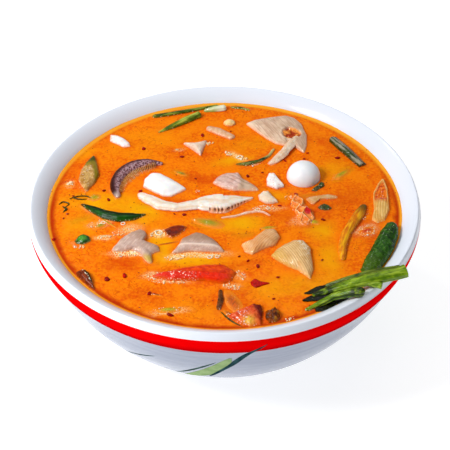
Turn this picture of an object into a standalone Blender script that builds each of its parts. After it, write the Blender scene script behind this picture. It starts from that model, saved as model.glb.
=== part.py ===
"""Hot and sour prawn-broth soup with mushrooms, onion, tomato and greens in a white melamine bowl.

The origin is the middle of the foot's underside, +Z is up, and the eater sits on the -Y side.
Lengths are written in millimetres and turned into metres where a mesh is made. Places on the
soup are (x, y) from the bowl's axis, and heights there are counted from the soup's surface.
"""

import math

import bmesh
import bpy
from mathutils import Vector

MM = 0.001

# Bowl
RIM_RADIUS = 115.0
BOWL_HEIGHT = 88.0
WALL_REACH = 115.9        # depth below the rim at which the wall's curve would meet the axis
WALL_DROP_POWER = 1.79
WALL_ROUND_POWER = 1.57
WALL_THICKNESS = 4.0
RIM_SWELL = 4.2           # extra thickness of the wall at the soup's surface
RIM_SWELL_REACH = 40.0    # depth over which that extra thickness fades out
BAND_BULGE = 2.7          # how far the printed band under the lip stands out from that curve
BAND_BULGE_DEPTH = 7.4
BAND_BULGE_REACH = 3.6
LIP_MIDDLE_RADIUS = 113.4
LIP_HALF_WIDTH = 2.0
LIP_HALF_HEIGHT = 2.3
LIP_TURN = 120.0          # degrees of the lip's round, from its outermost point over its top
LIP_STEPS = 4
FOOT_HEIGHT = 4.0
FOOT_RADIUS = 57.0
FOOT_WIDTH = 5.0
FLOOR_HEIGHT = 8.0        # height of the inner floor above the table
TURNED_SIDES = 56

# Soup
SOUP_DEPTH_BELOW_RIM = 7.66
SOUP_LEVEL = BOWL_HEIGHT - SOUP_DEPTH_BELOW_RIM
GAP = 0.3                 # clearance between any two neighbouring pieces

# Depths below the rim at which the bowl's wall has a ring of corners, from the floor upwards
OUTER_DEPTHS = (BOWL_HEIGHT - FOOT_HEIGHT, 73.0, 59.0, 43.0, 26.0, 15.0, 11.0, BAND_BULGE_DEPTH, 4.4)
INNER_DEPTHS = (76.0, 62.0, 45.0, 26.0, SOUP_DEPTH_BELOW_RIM)

# Section of a floating slice: its ring at each height, as a share of the outline
KEEL_SHARE = 0.84
SHOULDER_SHARE = 0.88
SHOULDER_HEIGHT = 0.72    # of the height above the soup

GREASE_GLOSS = 0.25


def clear_scene():
    for item in list(bpy.data.objects):
        bpy.data.objects.remove(item, do_unlink=True)


def finish(name, colour, roughness=GREASE_GLOSS):
    """A Principled material with one colour and one roughness."""
    material = bpy.data.materials.new(name)
    material.use_nodes = True
    shader = material.node_tree.nodes["Principled BSDF"]
    shader.inputs["Base Color"].default_value = (*colour, 1.0)
    shader.inputs["Roughness"].default_value = roughness
    shader.inputs["Metallic"].default_value = 0.0
    return material


def smooth(points, steps, closed=False):
    """Points on a Catmull-Rom curve through the given points, with `steps` points to each side."""
    count = len(points)
    sides = count if closed else count - 1
    result = []
    for side in range(sides):
        if closed:
            a, b, c, d = (points[(side + k - 1) % count] for k in range(4))
        else:
            b, c = points[side], points[side + 1]
            a = points[side - 1] if side else tuple(2 * p - q for p, q in zip(b, c))
            d = points[side + 2] if side + 2 < count else tuple(2 * p - q for p, q in zip(c, b))
        for step in range(steps):
            t = step / steps
            result.append(tuple(
                0.5 * (2 * q + (r - p) * t + (2 * p - 5 * q + 4 * r - s) * t * t
                       + (3 * q - p - 3 * r + s) * t * t * t)
                for p, q, r, s in zip(a, b, c, d)))
    if not closed:
        result.append(tuple(points[-1]))
    return result


def loft(rings, first_tip=None, last_tip=None):
    """A closed mesh through rings of equal count, each end closed by a fan to its tip or a flat face.

    The rings run counter-clockwise as seen from the last ring, so the faces point outwards.
    """
    mesh = bpy.data.meshes.new("loft")
    bm = bmesh.new()
    loops = [[bm.verts.new(Vector(point) * MM) for point in ring] for ring in rings]
    count = len(rings[0])
    for low, high in zip(loops, loops[1:]):
        for k in range(count):
            n = (k + 1) % count
            bm.faces.new((low[k], low[n], high[n], high[k]))
    for loop, tip, order in ((loops[0], first_tip, -1), (loops[-1], last_tip, 1)):
        if tip is None:
            bm.faces.new(loop[::order])
            continue
        point = bm.verts.new(Vector(tip) * MM)
        for k in range(count):
            pair = (loop[k], loop[(k + 1) % count])
            bm.faces.new((*pair[::order], point))
    bmesh.ops.recalc_face_normals(bm, faces=bm.faces)
    bm.to_mesh(mesh)
    bm.free()
    mesh.shade_smooth()
    mesh.set_sharp_from_angle(angle=math.radians(40))
    return mesh


def turned(profile):
    """A mesh of revolution from (radius, height) pairs that start and end on the axis."""
    rings = []
    for radius, height in profile[1:-1]:
        rings.append([(radius * math.cos(2 * math.pi * k / TURNED_SIDES),
                       radius * math.sin(2 * math.pi * k / TURNED_SIDES), height)
                      for k in range(TURNED_SIDES)])
    return loft(rings, (0, 0, profile[0][1]), (0, 0, profile[-1][1]))


def stalk(stations, sides=8, steps=2, cut_start=False, cut_end=False):
    """A rod along (x, y, height, half width, half thickness) stations, its ends round or cut flat."""
    stations = smooth(stations, steps)
    centres = [Vector((x, y, SOUP_LEVEL + z)) for x, y, z, _, _ in stations]
    rings = []
    tangents = []
    for k, (centre, station) in enumerate(zip(centres, stations)):
        ahead = centres[min(k + 1, len(centres) - 1)]
        behind = centres[max(k - 1, 0)]
        tangent = (ahead - behind).normalized()
        across = tangent.cross(Vector((0, 0, 1))).normalized()
        upright = across.cross(tangent)
        tangents.append(tangent)
        rings.append([centre
                      + across * station[3] * math.cos(2 * math.pi * s / sides)
                      + upright * station[4] * math.sin(2 * math.pi * s / sides)
                      for s in range(sides)])
    tips = [None, None]
    ends = ((0, -1, cut_start), (-1, 1, cut_end))
    for slot, (end, way, cut) in enumerate(ends):
        if cut:
            continue
        half = min(stations[end][3], stations[end][4])
        nose = tangents[end] * way * half
        ring = [centres[end] + (point - centres[end]) * 0.62 + nose * 0.7 for point in rings[end]]
        tips[slot] = centres[end] + nose
        if end == 0:
            rings.insert(0, ring)
        else:
            rings.append(ring)
    return loft(rings, *tips)


def slab(outline, above, below=3.0, lean=(0.0, 0.0), steps=1):
    """A floating slice: its outline at the soup, a rounded shoulder and crown above, a keel below.

    `lean` is the rise of the whole slice for each millimetre along X and along Y.
    """
    outline = smooth(outline, steps, closed=True) if steps > 1 else outline
    middle = (sum(x for x, _ in outline) / len(outline), sum(y for _, y in outline) / len(outline))

    def place(x, y, height):
        rise = lean[0] * (x - middle[0]) + lean[1] * (y - middle[1])
        return (x, y, SOUP_LEVEL + height + rise)

    def ring(share, height):
        return [place(middle[0] + (x - middle[0]) * share, middle[1] + (y - middle[1]) * share, height)
                for x, y in outline]

    rings = [ring(KEEL_SHARE, -below), ring(1.0, 0.0), ring(SHOULDER_SHARE, SHOULDER_HEIGHT * above)]
    return loft(rings, None, place(*middle, above))


def ball(x, y, height, radius_x, radius_y, radius_z, segments=16, rows=8):
    """An ellipsoid with its middle at a height above the soup."""
    rings = []
    for row in range(1, rows):
        angle = math.pi * row / rows
        rings.append([(x + radius_x * math.sin(angle) * math.cos(2 * math.pi * k / segments),
                       y + radius_y * math.sin(angle) * math.sin(2 * math.pi * k / segments),
                       SOUP_LEVEL + height - radius_z * math.cos(angle)) for k in range(segments)])
    return loft(rings, (x, y, SOUP_LEVEL + height - radius_z), (x, y, SOUP_LEVEL + height + radius_z))


def add_object(name, mesh, material):
    mesh.name = name
    mesh.materials.append(material)
    item = bpy.data.objects.new(name, mesh)
    bpy.context.scene.collection.objects.link(item)
    return item


def add_tool(name, mesh):
    """A cutter or a joined-on shape, which isn't part of the model itself."""
    item = bpy.data.objects.new(name, mesh)
    bpy.context.scene.collection.objects.link(item)
    item.hide_render = True
    item.display_type = "WIRE"
    return item


def boolean(target, tool, operation):
    modifier = target.modifiers.new(operation.title(), "BOOLEAN")
    modifier.object = tool
    modifier.operation = operation
    modifier.solver = "EXACT"


def grown(mesh):
    """A copy of a mesh with its skin moved outwards by the clearance."""
    copy = mesh.copy()
    bm = bmesh.new()
    bm.from_mesh(copy)
    bm.normal_update()
    moves = [vert.normal * GAP * MM * min(vert.calc_shell_factor(), 1.8) for vert in bm.verts]
    for vert, move in zip(bm.verts, moves):
        vert.co += move
    bm.to_mesh(copy)
    bm.free()
    return copy


def add_topping(name, material, *meshes):
    """A piece of food from one mesh, or from several that are joined, and its hollow in the soup."""
    for k, mesh in enumerate(meshes):
        hollows.append(add_tool(f"hollow_of_{name}_{k}", grown(mesh)))
    item = add_object(name, meshes[0], material)
    for k, mesh in enumerate(meshes[1:], start=1):
        boolean(item, add_tool(f"joined_{name}_{k}", mesh), "UNION")
    return item


def wall_radius(depth):
    """Radius of the wall's main curve at a depth below the rim, which closes at WALL_REACH."""
    return RIM_RADIUS * (1 - (depth / WALL_REACH) ** WALL_DROP_POWER) ** (1 / WALL_ROUND_POWER)


def outer_radius(depth):
    """Outer radius of the bowl: the main curve with the soft bulge of the printed band on it."""
    away = (depth - BAND_BULGE_DEPTH) / BAND_BULGE_REACH
    return wall_radius(depth) + BAND_BULGE * math.exp(-away * away)


def inner_radius(depth):
    """Inner radius: the wall is thickest at the soup's surface and thins towards the floor."""
    fade = max(0.0, 1 - (depth - SOUP_DEPTH_BELOW_RIM) / RIM_SWELL_REACH)
    return wall_radius(depth) - WALL_THICKNESS - RIM_SWELL * fade ** 2


def inner_profile(shrink):
    """(radius, height) pairs from the axis at the floor to the soup's surface, drawn in by `shrink`."""
    corner = inner_radius(INNER_DEPTHS[0])
    floor = FLOOR_HEIGHT + shrink
    pairs = [(0.0, floor), (corner * 0.72, floor), (corner * 0.91, floor + 1.2)]
    pairs += [(inner_radius(depth) - shrink, BOWL_HEIGHT - depth) for depth in INNER_DEPTHS]
    return pairs


def make_bowl():
    """Foot ring, rounded wall, the band's bulge and a round lip that slopes straight in to the soup."""
    outer = [(outer_radius(depth), BOWL_HEIGHT - depth) for depth in OUTER_DEPTHS]
    turns = [math.radians(LIP_TURN * k / LIP_STEPS) for k in range(LIP_STEPS + 1)]
    lip = [(LIP_MIDDLE_RADIUS + LIP_HALF_WIDTH * math.cos(turn),
            BOWL_HEIGHT - LIP_HALF_HEIGHT + LIP_HALF_HEIGHT * math.sin(turn)) for turn in turns]
    foot = [(0.0, FOOT_HEIGHT), (FOOT_RADIUS - FOOT_WIDTH - 1, FOOT_HEIGHT),
            (FOOT_RADIUS - FOOT_WIDTH, 0.0), (FOOT_RADIUS, 0.0), (FOOT_RADIUS + 1, FOOT_HEIGHT - 1)]
    profile = foot + outer + lip + inner_profile(0.0)[::-1]
    add_object("bowl", turned(profile), finish("white_melamine", (0.80, 0.85, 0.90), 0.2))


def make_broth():
    """The soup up to its level, hollowed round everything that floats in it."""
    profile = inner_profile(GAP) + [(0.0, SOUP_LEVEL)]
    broth = add_object("broth", turned(profile), finish("orange_broth", (0.95, 0.30, 0.01)))
    for hollow in hollows:
        boolean(broth, hollow, "DIFFERENCE")


def add_back_greens():
    dark = finish("dark_green", (0.05, 0.16, 0.02))
    pale = finish("pale_green", (0.55, 0.65, 0.30))
    add_topping("spring_onion_stem", dark, stalk(
        [(-46, 91.2, 0.2, 1.8, 1.7), (-34.6, 94.0, 0.5, 1.7, 1.6), (-20.5, 98.2, 0.6, 1.5, 1.4),
         (-5, 103.2, 0.6, 0.9, 0.9)], sides=6, steps=1))
    add_topping("spring_onion_butt", pale, stalk(
        [(-12.5, 97.4, 0.5, 1.4, 1.4), (-7, 98.6, 0.8, 2.3, 2.2), (-0.4, 99.6, 1.0, 2.5, 2.4)],
        steps=1, cut_end=True))
    add_topping("green_pod_back", dark, stalk(
        [(-42.5, 73.8, 0.0, 0.8, 0.8), (-35, 79, 0.6, 1.9, 1.8), (-27, 85, 0.8, 2.5, 2.4),
         (-16.5, 92.6, 0.9, 2.6, 2.5)], steps=1, cut_end=True))
    add_topping("green_sliver_back", dark, stalk(
        [(4.5, 101.5, 0.2, 1.1, 1.0), (10.5, 100.8, 0.3, 1.3, 1.0), (16, 98.6, 0.2, 1.0, 0.9)],
        sides=6, steps=1))
    add_topping("green_bean_rod", dark, stalk(
        [(69, 65.5, 0.8, 2.4, 2.0), (77.5, 52, 0.8, 2.6, 2.2), (86, 38.5, 0.3, 2.2, 1.8)],
        steps=1, cut_start=True, cut_end=True))
    add_topping("green_curl", dark, stalk(
        [(31, 55.5, 0.4, 0.9, 0.8), (28, 48.8, 0.4, 1.0, 0.9), (22, 43.6, 0.4, 1.3, 1.1),
         (14, 40.4, 0.4, 1.9, 1.4), (7.5, 40.4, 0.0, 0.9, 0.8)], sides=6, steps=1))


def add_left_greens():
    dark = finish("chilli_green", (0.03, 0.18, 0.04))
    add_topping("leek_wedge", finish("leek", (0.55, 0.55, 0.22)), slab(
        [(-90.5, 24), (-89.5, 34), (-86.5, 43), (-82.3, 50), (-79.5, 40), (-77.5, 29), (-79.5, 21),
         (-84.5, 12), (-88, 18.5)], above=2.0, lean=(0.05, 0.0)))
    add_topping("chilli_slice", dark, stalk(
        [(-86, 1.0, 0.0, 0.8, 0.9), (-79, -4.0, 0.5, 2.4, 2.0), (-71, -9.5, 0.8, 3.3, 2.6),
         (-63, -12.0, 0.8, 3.5, 2.7), (-55, -11.0, 0.5, 2.8, 2.2), (-47.5, -8.5, 0.0, 0.7, 0.9)],
        steps=1))
    add_topping("green_chip", dark, slab(
        [(-88, -33), (-86, -29.5), (-82.5, -27.5), (-79, -29.5), (-78, -33), (-82, -36), (-86.5, -35.5)],
        above=1.8, lean=(0.1, 0.12)))
    add_topping("aubergine_slice", finish("aubergine", (0.16, 0.10, 0.03)), slab(
        [(-84.4, -61.6), (-81.8, -59.0), (-79.0, -58.8), (-76.4, -61.2), (-74.6, -66.0), (-73.4, -71.0),
         (-71.6, -76.2), (-75.4, -72.4), (-80.2, -67.0)], above=3.0, lean=(-0.15, 0.05)))


def add_mushrooms():
    grey = finish("mushroom_grey", (0.62, 0.50, 0.42))
    cream = finish("mushroom_cream", (0.85, 0.70, 0.50))
    cap_middle, cap_reach = (-44.0, 17.8), 23.0
    crescent = []
    for angle, half_width, half_height in ((205, 1.7, 1.8), (186, 3.1, 3.2), (164, 3.8, 4.0),
                                           (140, 4.2, 4.2), (117, 3.9, 4.0), (97, 2.7, 3.0),
                                           (78, 1.0, 1.4)):
        turn = math.radians(angle)
        crescent.append((cap_middle[0] + cap_reach * math.cos(turn),
                         cap_middle[1] + cap_reach * math.sin(turn), 0.6, half_width, half_height))
    add_topping("mushroom_crescent", finish("mushroom_skin", (0.14, 0.07, 0.07)), stalk(crescent))
    add_topping("oyster_cap", cream, slab(
        [(13.6, 83), (19.5, 86.8), (29, 89.4), (40, 91.6), (45.5, 89), (50, 82.5), (53, 70), (52.4, 59),
         (50, 49.5), (47.4, 54), (43.5, 60.5), (39, 59), (33, 61), (27, 66.5), (20, 75)],
        above=3.0, lean=(0.01, 0.01)),
        stalk([(45, 64, 0.8, 2.3, 1.8), (38.6, 52, 0.7, 2.5, 1.8), (30.8, 40.5, 0.2, 2.0, 1.5)],
              steps=1))
    add_topping("oyster_strand", cream, stalk(
        [(-51.2, 10.4, 0.4, 2.6, 1.6), (-45.6, 5.2, 0.6, 3.8, 2.2), (-37.5, -1.2, 0.8, 4.0, 2.4),
         (-28.5, -2.8, 0.8, 3.1, 2.2), (-17.5, -0.6, 0.8, 3.7, 2.4), (-8.5, 0.7, 0.8, 7.8, 2.6),
         (-2, 1.4, 0.8, 8.2, 2.6), (4, 3.8, 0.5, 6.0, 2.2), (16.5, 7.0, 0.1, 1.2, 1.0)], steps=1))
    add_topping("mushroom_thread", cream, stalk(
        [(-1.5, -11.5, 0.1, 0.7, 0.7), (6, -10.2, 0.2, 0.9, 0.8), (13, -7.2, 0.2, 0.9, 0.8),
         (19.5, -5.6, 0.2, 0.9, 0.8), (24, -6.6, 0.2, 0.8, 0.7), (27, -9.5, 0.1, 0.6, 0.6)],
        sides=6, steps=1))
    add_topping("mushroom_finger", grey, stalk(
        [(-10.5, 78, 0.3, 2.4, 1.5), (-4.5, 74.8, 0.5, 3.2, 1.8), (5, 68, 0.2, 2.8, 1.5)], steps=1))
    add_topping("mushroom_triangle", grey, slab(
        [(-27, 62), (-19.5, 61), (-11, 64.5), (-13, 56.5), (-15, 48.5), (-20, 54.5)], above=2.2))
    add_topping("mushroom_left", grey, slab(
        [(-66, -42), (-61, -31), (-56, -26), (-50, -22), (-47, -24), (-45, -28.5), (-48.5, -32),
         (-38, -38), (-37.3, -42), (-42.2, -44.4), (-41, -52.6), (-44, -52.4), (-48.6, -44.5),
         (-54, -41), (-60, -42.5)], above=2.6))
    add_topping("mushroom_middle", grey, slab(
        [(-31.5, -44.5), (-26.5, -36), (-25, -31), (-17, -25.5), (-12, -27), (-6, -32), (-3, -36.5),
         (0.5, -42.8), (-10, -42.4), (-20, -42)], above=3.0))


def add_white_pieces():
    white = finish("cooked_white", (0.90, 0.88, 0.85))
    add_topping("onion_sliver", white, slab(
        [(-73.8, 71.5), (-69.2, 70.4), (-64.5, 67.2), (-60.7, 62.4), (-59.9, 58.7), (-64, 57.6),
         (-68.6, 60.8), (-73.3, 64)], above=1.8))
    add_topping("cuttlefish_piece", white, slab(
        [(-49.5, 25), (-45.5, 30.8), (-40.5, 30.3), (-33, 24.5), (-26, 18), (-22.8, 15.2), (-27, 12),
         (-32.5, 7.8), (-37.5, 8.2), (-44, 12.8), (-50, 17.5)], above=3.6))
    add_topping("chicken_slice", finish("chicken_grey_pink", (0.66, 0.52, 0.45)), slab(
        [(-7.5, 21), (-5, 26.5), (0, 30.4), (8.5, 31), (11, 26), (19, 18.6), (21.4, 13.8), (13, 13.4),
         (5, 13.8), (-1.5, 16.5)], above=2.4))
    add_topping("cream_curl", finish("cream", (0.85, 0.66, 0.40)), slab(
        [(20.2, 8.6), (23.6, 12.6), (26.6, 13.4), (29, 8.5), (32.9, 2.6), (28.6, 1), (24.4, 1.6),
         (21.2, 4.6)], above=2.0))
    add_topping("fish_cake_chip", white, slab(
        [(27.4, 30), (30.6, 30), (33, 25), (36.8, 17.6), (32, 15.2), (26, 18.6), (25.8, 25)],
        above=3.0))
    add_topping("quail_egg", white, ball(48.9, 27.5, 0.6, 10.3, 10.3, 10.0))
    add_topping("garlic_bit", finish("garlic", (0.92, 0.80, 0.50)), ball(
        3.2, 83.6, 0.3, 3.8, 3.4, 2.6, segments=10, rows=6))


def add_onions():
    onion = finish("boiled_onion", (0.80, 0.58, 0.26))
    add_topping("onion_petal_left", onion, slab(
        [(9.5, -36), (14, -35), (20, -28), (24.5, -23.2), (30, -23.2), (32.6, -29.5), (29.6, -36.5),
         (22, -40.5), (16, -45), (12, -43)], above=3.2, lean=(0.02, 0.03)))
    add_topping("onion_petal_right", onion, slab(
        [(26.5, -46), (30, -41), (35, -36.5), (41, -33), (46, -33.5), (49.8, -39.5), (50.2, -48),
         (51, -58), (48.8, -66), (42, -58.5), (36, -55), (31, -51)], above=3.6, lean=(0.0, 0.04)))
    add_topping("onion_petal_pointed", onion, slab(
        [(98, 26.5), (94, 20), (90.8, 12), (89.8, 4), (89.6, -5), (87.2, -13.5), (90, -17),
         (95.2, -14.8), (99, -5), (99.4, 6), (99.6, 16)], above=2.6, lean=(0.03, 0.02)))
    add_topping("onion_strip", onion, slab(
        [(49, 6.2), (51.5, 1.6), (54, 0.6), (56.6, 5), (61, 5.6), (68.4, 6.2), (69, 8.8), (64, 10.6),
         (58, 9.8), (52, 8.2)], above=1.2))


def add_tomatoes():
    red = finish("tomato_red", (0.62, 0.04, 0.01))
    brown = finish("stewed_brown", (0.18, 0.05, 0.01))
    add_topping("tomato_wedge", red, slab(
        [(-43, -63.5), (-37, -61), (-30, -58.5), (-22, -56.5), (-11, -54), (1, -54.5), (6.5, -60),
         (4.5, -67), (-1, -69.5), (-11, -66.8), (-22, -66.8), (-31, -66.8)], above=3.0))
    add_topping("tomato_skin", red, slab(
        [(40.5, 9.5), (43.5, 10.5), (46.8, 5.5), (49, 0), (53.4, -6.5), (53.8, -12), (49, -20),
         (45, -16.5), (42.5, -8), (39.5, 0)], above=2.4))
    add_topping("tomato_chunk_front", red, slab(
        [(1.9, -95.8), (6.3, -92), (11.9, -88.8), (16, -86), (20.4, -86.6), (21.2, -92.5),
         (20, -102.2), (14.5, -103.4), (8.4, -101.4)], above=2.8))
    add_topping("brown_strip_front", brown, stalk(
        [(-2.5, -75, 0.2, 1.2, 1.4), (-2.2, -82, 0.4, 1.7, 2.0), (-3.4, -89.5, 0.0, 1.2, 1.4)],
        sides=6))
    add_topping("brown_clump_front", brown, slab(
        [(22.4, -92.4), (25.6, -90.6), (27.8, -88.8), (30.3, -92.6), (30.4, -97), (28.8, -99.6),
         (24.4, -100.6), (22.2, -97)], above=3.6))
    add_topping("brown_piece", brown, slab(
        [(-36.6, -23.4), (-32, -20), (-27, -18.4), (-22, -19.8), (-23.2, -23.4), (-27, -27.6),
         (-30.6, -30.6), (-34, -28.6)], above=1.6))


def add_right_greens():
    dark = finish("right_green", (0.04, 0.20, 0.03))
    olive = finish("olive_green", (0.30, 0.30, 0.04))
    add_topping("lemongrass_stalk", olive, stalk(
        [(84, -0.5, 0.0, 2.0, 1.6), (81, -8, 0.5, 3.4, 2.2), (76, -17, 0.6, 3.2, 2.2),
         (71.2, -26.5, 0.5, 3.0, 2.0), (68.4, -38, 0.3, 2.7, 1.8), (68, -48.5, 0.0, 1.8, 1.4)], steps=1))
    add_topping("long_green_pod", dark, stalk(
        [(98.2, -23, 3.0, 3.6, 3.4), (96.0, -30.2, 3.0, 5.2, 4.8), (92.6, -39, 3.0, 5.6, 5.0),
         (89.0, -46.8, 2.6, 5.6, 4.8), (84.6, -54.4, 2.0, 5.3, 4.4), (81, -60.4, 1.0, 4.2, 3.4)],
        sides=10, steps=1))
    add_topping("leaf_by_egg", dark, slab(
        [(52.8, 14), (55, 17.2), (57.4, 19.2), (59.2, 22.4), (61, 22), (61.6, 18.4), (58.4, 15.8),
         (55.6, 13.2)], above=0.9, below=1.5))
    add_topping("leaf_middle", dark, slab(
        [(56, -2), (60, 1.6), (64.8, -2.6), (62, -4.8), (58, -4.2)], above=1.0, below=1.5, steps=2))


def add_rim_greens():
    """Stalks that lie over the bowl's lip, with their leafy ends in the soup."""
    bright = finish("stalk_green", (0.22, 0.42, 0.03))
    dark = finish("leaf_green", (0.06, 0.12, 0.02))
    main = [(100.3, -73.2, 13.8, 3.9, 3.7), (95.2, -74.8, 13.0, 3.5, 3.2), (88, -76.0, 12.2, 3.6, 3.1),
            (79, -77.2, 10.8, 3.6, 3.0), (68, -77.4, 6.8, 3.3, 2.7), (57.5, -77.6, 2.8, 2.6, 2.0),
            (49, -79, 0.6, 1.2, 1.0)]
    shoot = [(86.6, -81.8, 10.6, 2.0, 1.8), (81.5, -79.8, 10.4, 2.0, 1.8), (76.5, -77.6, 9.6, 1.8, 1.6)]
    add_topping("greens_stalk_main", bright, stalk(main, steps=1, cut_start=True),
                stalk(shoot, sides=6, steps=1, cut_start=True))
    add_topping("greens_stem_thin", dark, stalk(
        [(97, -69.4, 13.6, 1.0, 1.0), (88.4, -70.8, 12.8, 1.2, 1.2), (78.8, -72.0, 11.2, 1.2, 1.2),
         (67.6, -72.5, 7.2, 1.2, 1.2), (57, -73.2, 2.6, 1.1, 1.0)], sides=6, steps=1))
    add_topping("greens_stalk_lower", bright, stalk(
        [(75.7, -87.0, 11.0, 2.8, 2.6), (68.6, -85.6, 8.8, 2.5, 2.2), (60, -84.2, 4.8, 2.1, 1.8),
         (51, -87.0, 0.8, 1.8, 1.4), (45, -90.2, 0.1, 1.2, 1.0)], steps=1, cut_start=True))
    add_topping("greens_leaf_dark", dark, slab(
        [(54.5, -88.5), (60.5, -85.8), (67.5, -79.6), (70, -78.8), (66, -82.2), (60, -86.8), (56, -90.2)],
        above=0.8, below=2.0))


clear_scene()
hollows = []
add_back_greens()
add_left_greens()
add_mushrooms()
add_white_pieces()
add_onions()
add_tomatoes()
add_right_greens()
add_rim_greens()
make_bowl()
make_broth()
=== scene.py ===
# %% [markdown]
# # A bowl of hot and sour soup
# Mushrooms, onion, tomato, greens, a small egg and slices of chicken float in a creamy
# chilli broth, in a thick white melamine bowl with a red band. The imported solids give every
# place and size. This lesson lays the true surfaces over them, one kind of food at a time.

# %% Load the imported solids
import math

import bpy
import numpy as np
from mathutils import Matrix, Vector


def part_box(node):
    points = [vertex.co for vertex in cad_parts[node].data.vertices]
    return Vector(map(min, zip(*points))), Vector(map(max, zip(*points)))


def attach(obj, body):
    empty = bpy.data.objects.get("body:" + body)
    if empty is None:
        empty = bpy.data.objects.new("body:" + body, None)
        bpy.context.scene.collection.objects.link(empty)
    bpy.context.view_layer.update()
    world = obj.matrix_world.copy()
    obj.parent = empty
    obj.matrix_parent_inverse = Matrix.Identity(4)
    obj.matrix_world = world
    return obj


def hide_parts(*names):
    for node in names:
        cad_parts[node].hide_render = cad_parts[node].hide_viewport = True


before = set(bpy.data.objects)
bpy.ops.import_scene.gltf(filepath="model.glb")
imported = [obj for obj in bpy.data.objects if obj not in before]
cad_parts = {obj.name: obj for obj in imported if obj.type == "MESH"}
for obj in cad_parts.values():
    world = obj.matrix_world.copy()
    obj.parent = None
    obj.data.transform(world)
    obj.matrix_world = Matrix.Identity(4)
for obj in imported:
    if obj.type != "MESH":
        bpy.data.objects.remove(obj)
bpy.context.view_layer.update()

# %% [markdown]
# All lengths below are in millimetres, and heights are counted from the table the bowl stands
# on. The two levels that everything hangs on are read from the solids: the rim and the soup.
# A number typed twice would drift apart as soon as the bowl changed.

# %% Levels and units
MM = 0.001
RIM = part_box("bowl")[1][2] / MM
BOWL_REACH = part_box("bowl")[1][0] / MM
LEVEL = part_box("broth")[1][2] / MM
SOUP_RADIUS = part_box("broth")[1][0] / MM
BODY = "root"
print(f"rim at {RIM:.1f}, soup at {LEVEL:.2f}, soup radius there up to {SOUP_RADIUS:.1f}")

# %% [markdown]
# ## Surfaces as stacks of loops
# Nearly every piece of food here is a stack of closed loops: a slice is a stack from its crown
# out to its edge and down to its keel, and a stalk is a stack along its length. One function
# turns such a stack, a plain numpy array, into a closed mesh. Numbers that the finish will need,
# such as how close a point is to the edge, are stored in the mesh as named attributes.

# %% From loops to a closed skin
def stack(loops, fields=None):
    """Closed skin over loops of shape (rows, columns, 3): quads between neighbouring loops,
    and a fan of triangles to the middle of the first and of the last loop."""
    rows, cols = loops.shape[:2]
    ends = np.stack((loops[0].mean(0), loops[-1].mean(0)))
    points = np.concatenate((loops.reshape(-1, 3), ends))
    row, col = np.meshgrid(np.arange(rows - 1), np.arange(cols), indexing="ij")
    here, there = row * cols + col, row * cols + (col + 1) % cols
    quads = np.stack((here, there, there + cols, here + cols), -1).reshape(-1, 4)
    turn = np.arange(cols)
    after = (turn + 1) % cols
    last = (rows - 1) * cols
    first_fan = np.stack((after, turn, np.full(cols, rows * cols)), -1)
    last_fan = np.stack((turn + last, after + last, np.full(cols, rows * cols + 1)), -1)
    values = {}
    for name, grid in (fields or {}).items():
        grid = np.broadcast_to(grid, (rows, cols))
        values[name] = np.concatenate((grid.ravel(), [grid[0].mean(), grid[-1].mean()]))
    return points, quads, np.concatenate((first_fan, last_fan)), values


def joined(parts):
    """Several skins as one: points and faces end to end, the corner numbers moved up to match."""
    shift = np.cumsum([0] + [len(p[0]) for p in parts[:-1]])
    names = sorted({n for p in parts for n in p[3]})
    return (np.concatenate([p[0] for p in parts]),
            np.concatenate([p[1] + s for p, s in zip(parts, shift)]),
            np.concatenate([p[2] + s for p, s in zip(parts, shift)]),
            {n: np.concatenate([p[3].get(n, np.zeros(len(p[0]))) for p in parts]) for n in names})


def volume(points, quads, tris):
    """Signed volume: the sum over triangles of a . (b x c) / 6, positive if faces point out."""
    fans = np.concatenate((quads[:, (0, 1, 2)], quads[:, (0, 2, 3)], tris))
    a, b, c = (points[fans[:, k]] for k in range(3))
    return float((a * np.cross(b, c)).sum() / 6)


def make_piece(name, skin, finishes, slot, *nodes, zones=None):
    """A mesh object from a skin in millimetres, riding on the bowl's body. `nodes` are the
    solids it stands for, and `zones` says which finish each quad takes."""
    points, quads, tris, values = skin
    if volume(points - points.mean(0), quads, tris) < 0:
        quads, tris = quads[:, ::-1], tris[:, ::-1]
    mesh = bpy.data.meshes.new(name)
    mesh.vertices.add(len(points))
    mesh.vertices.foreach_set("co", (points * MM).astype(np.float32).ravel())
    corners = np.concatenate((quads.ravel(), tris.ravel())).astype(np.int32)
    sizes = np.concatenate((np.full(len(quads), 4), np.full(len(tris), 3)))
    mesh.loops.add(len(corners))
    mesh.loops.foreach_set("vertex_index", corners)
    mesh.polygons.add(len(sizes))
    starts = np.concatenate(([0], np.cumsum(sizes)[:-1])).astype(np.int32)
    mesh.polygons.foreach_set("loop_start", starts)
    if zones is not None:
        numbers = np.concatenate((zones, np.zeros(len(tris)))).astype(np.int32)
        mesh.polygons.foreach_set("material_index", numbers)
    mesh.update(calc_edges=True)
    mesh.validate()
    mesh.shade_smooth()
    for field, numbers in values.items():
        layer = mesh.attributes.new(field, "FLOAT", "POINT")
        layer.data.foreach_set("value", numbers.astype(np.float32))
    for finish in finishes if isinstance(finishes, list) else [finishes]:
        mesh.materials.append(finish)
    piece = bpy.data.objects.new(name, mesh)
    bpy.context.scene.collection.objects.link(piece)
    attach(piece, BODY)
    if nodes:
        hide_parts(*nodes)
    print(f"{name}: {2 * len(quads) + len(tris)} triangles")


# %% [markdown]
# ## Unevenness
# Cooked food is never smooth. Random numbers on the corners of a lattice of cubes, blended
# softly in between, give bumps of any size in one array sum. The numbers come from a hash
# of the corner's place, so each run gives the same food.

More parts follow.
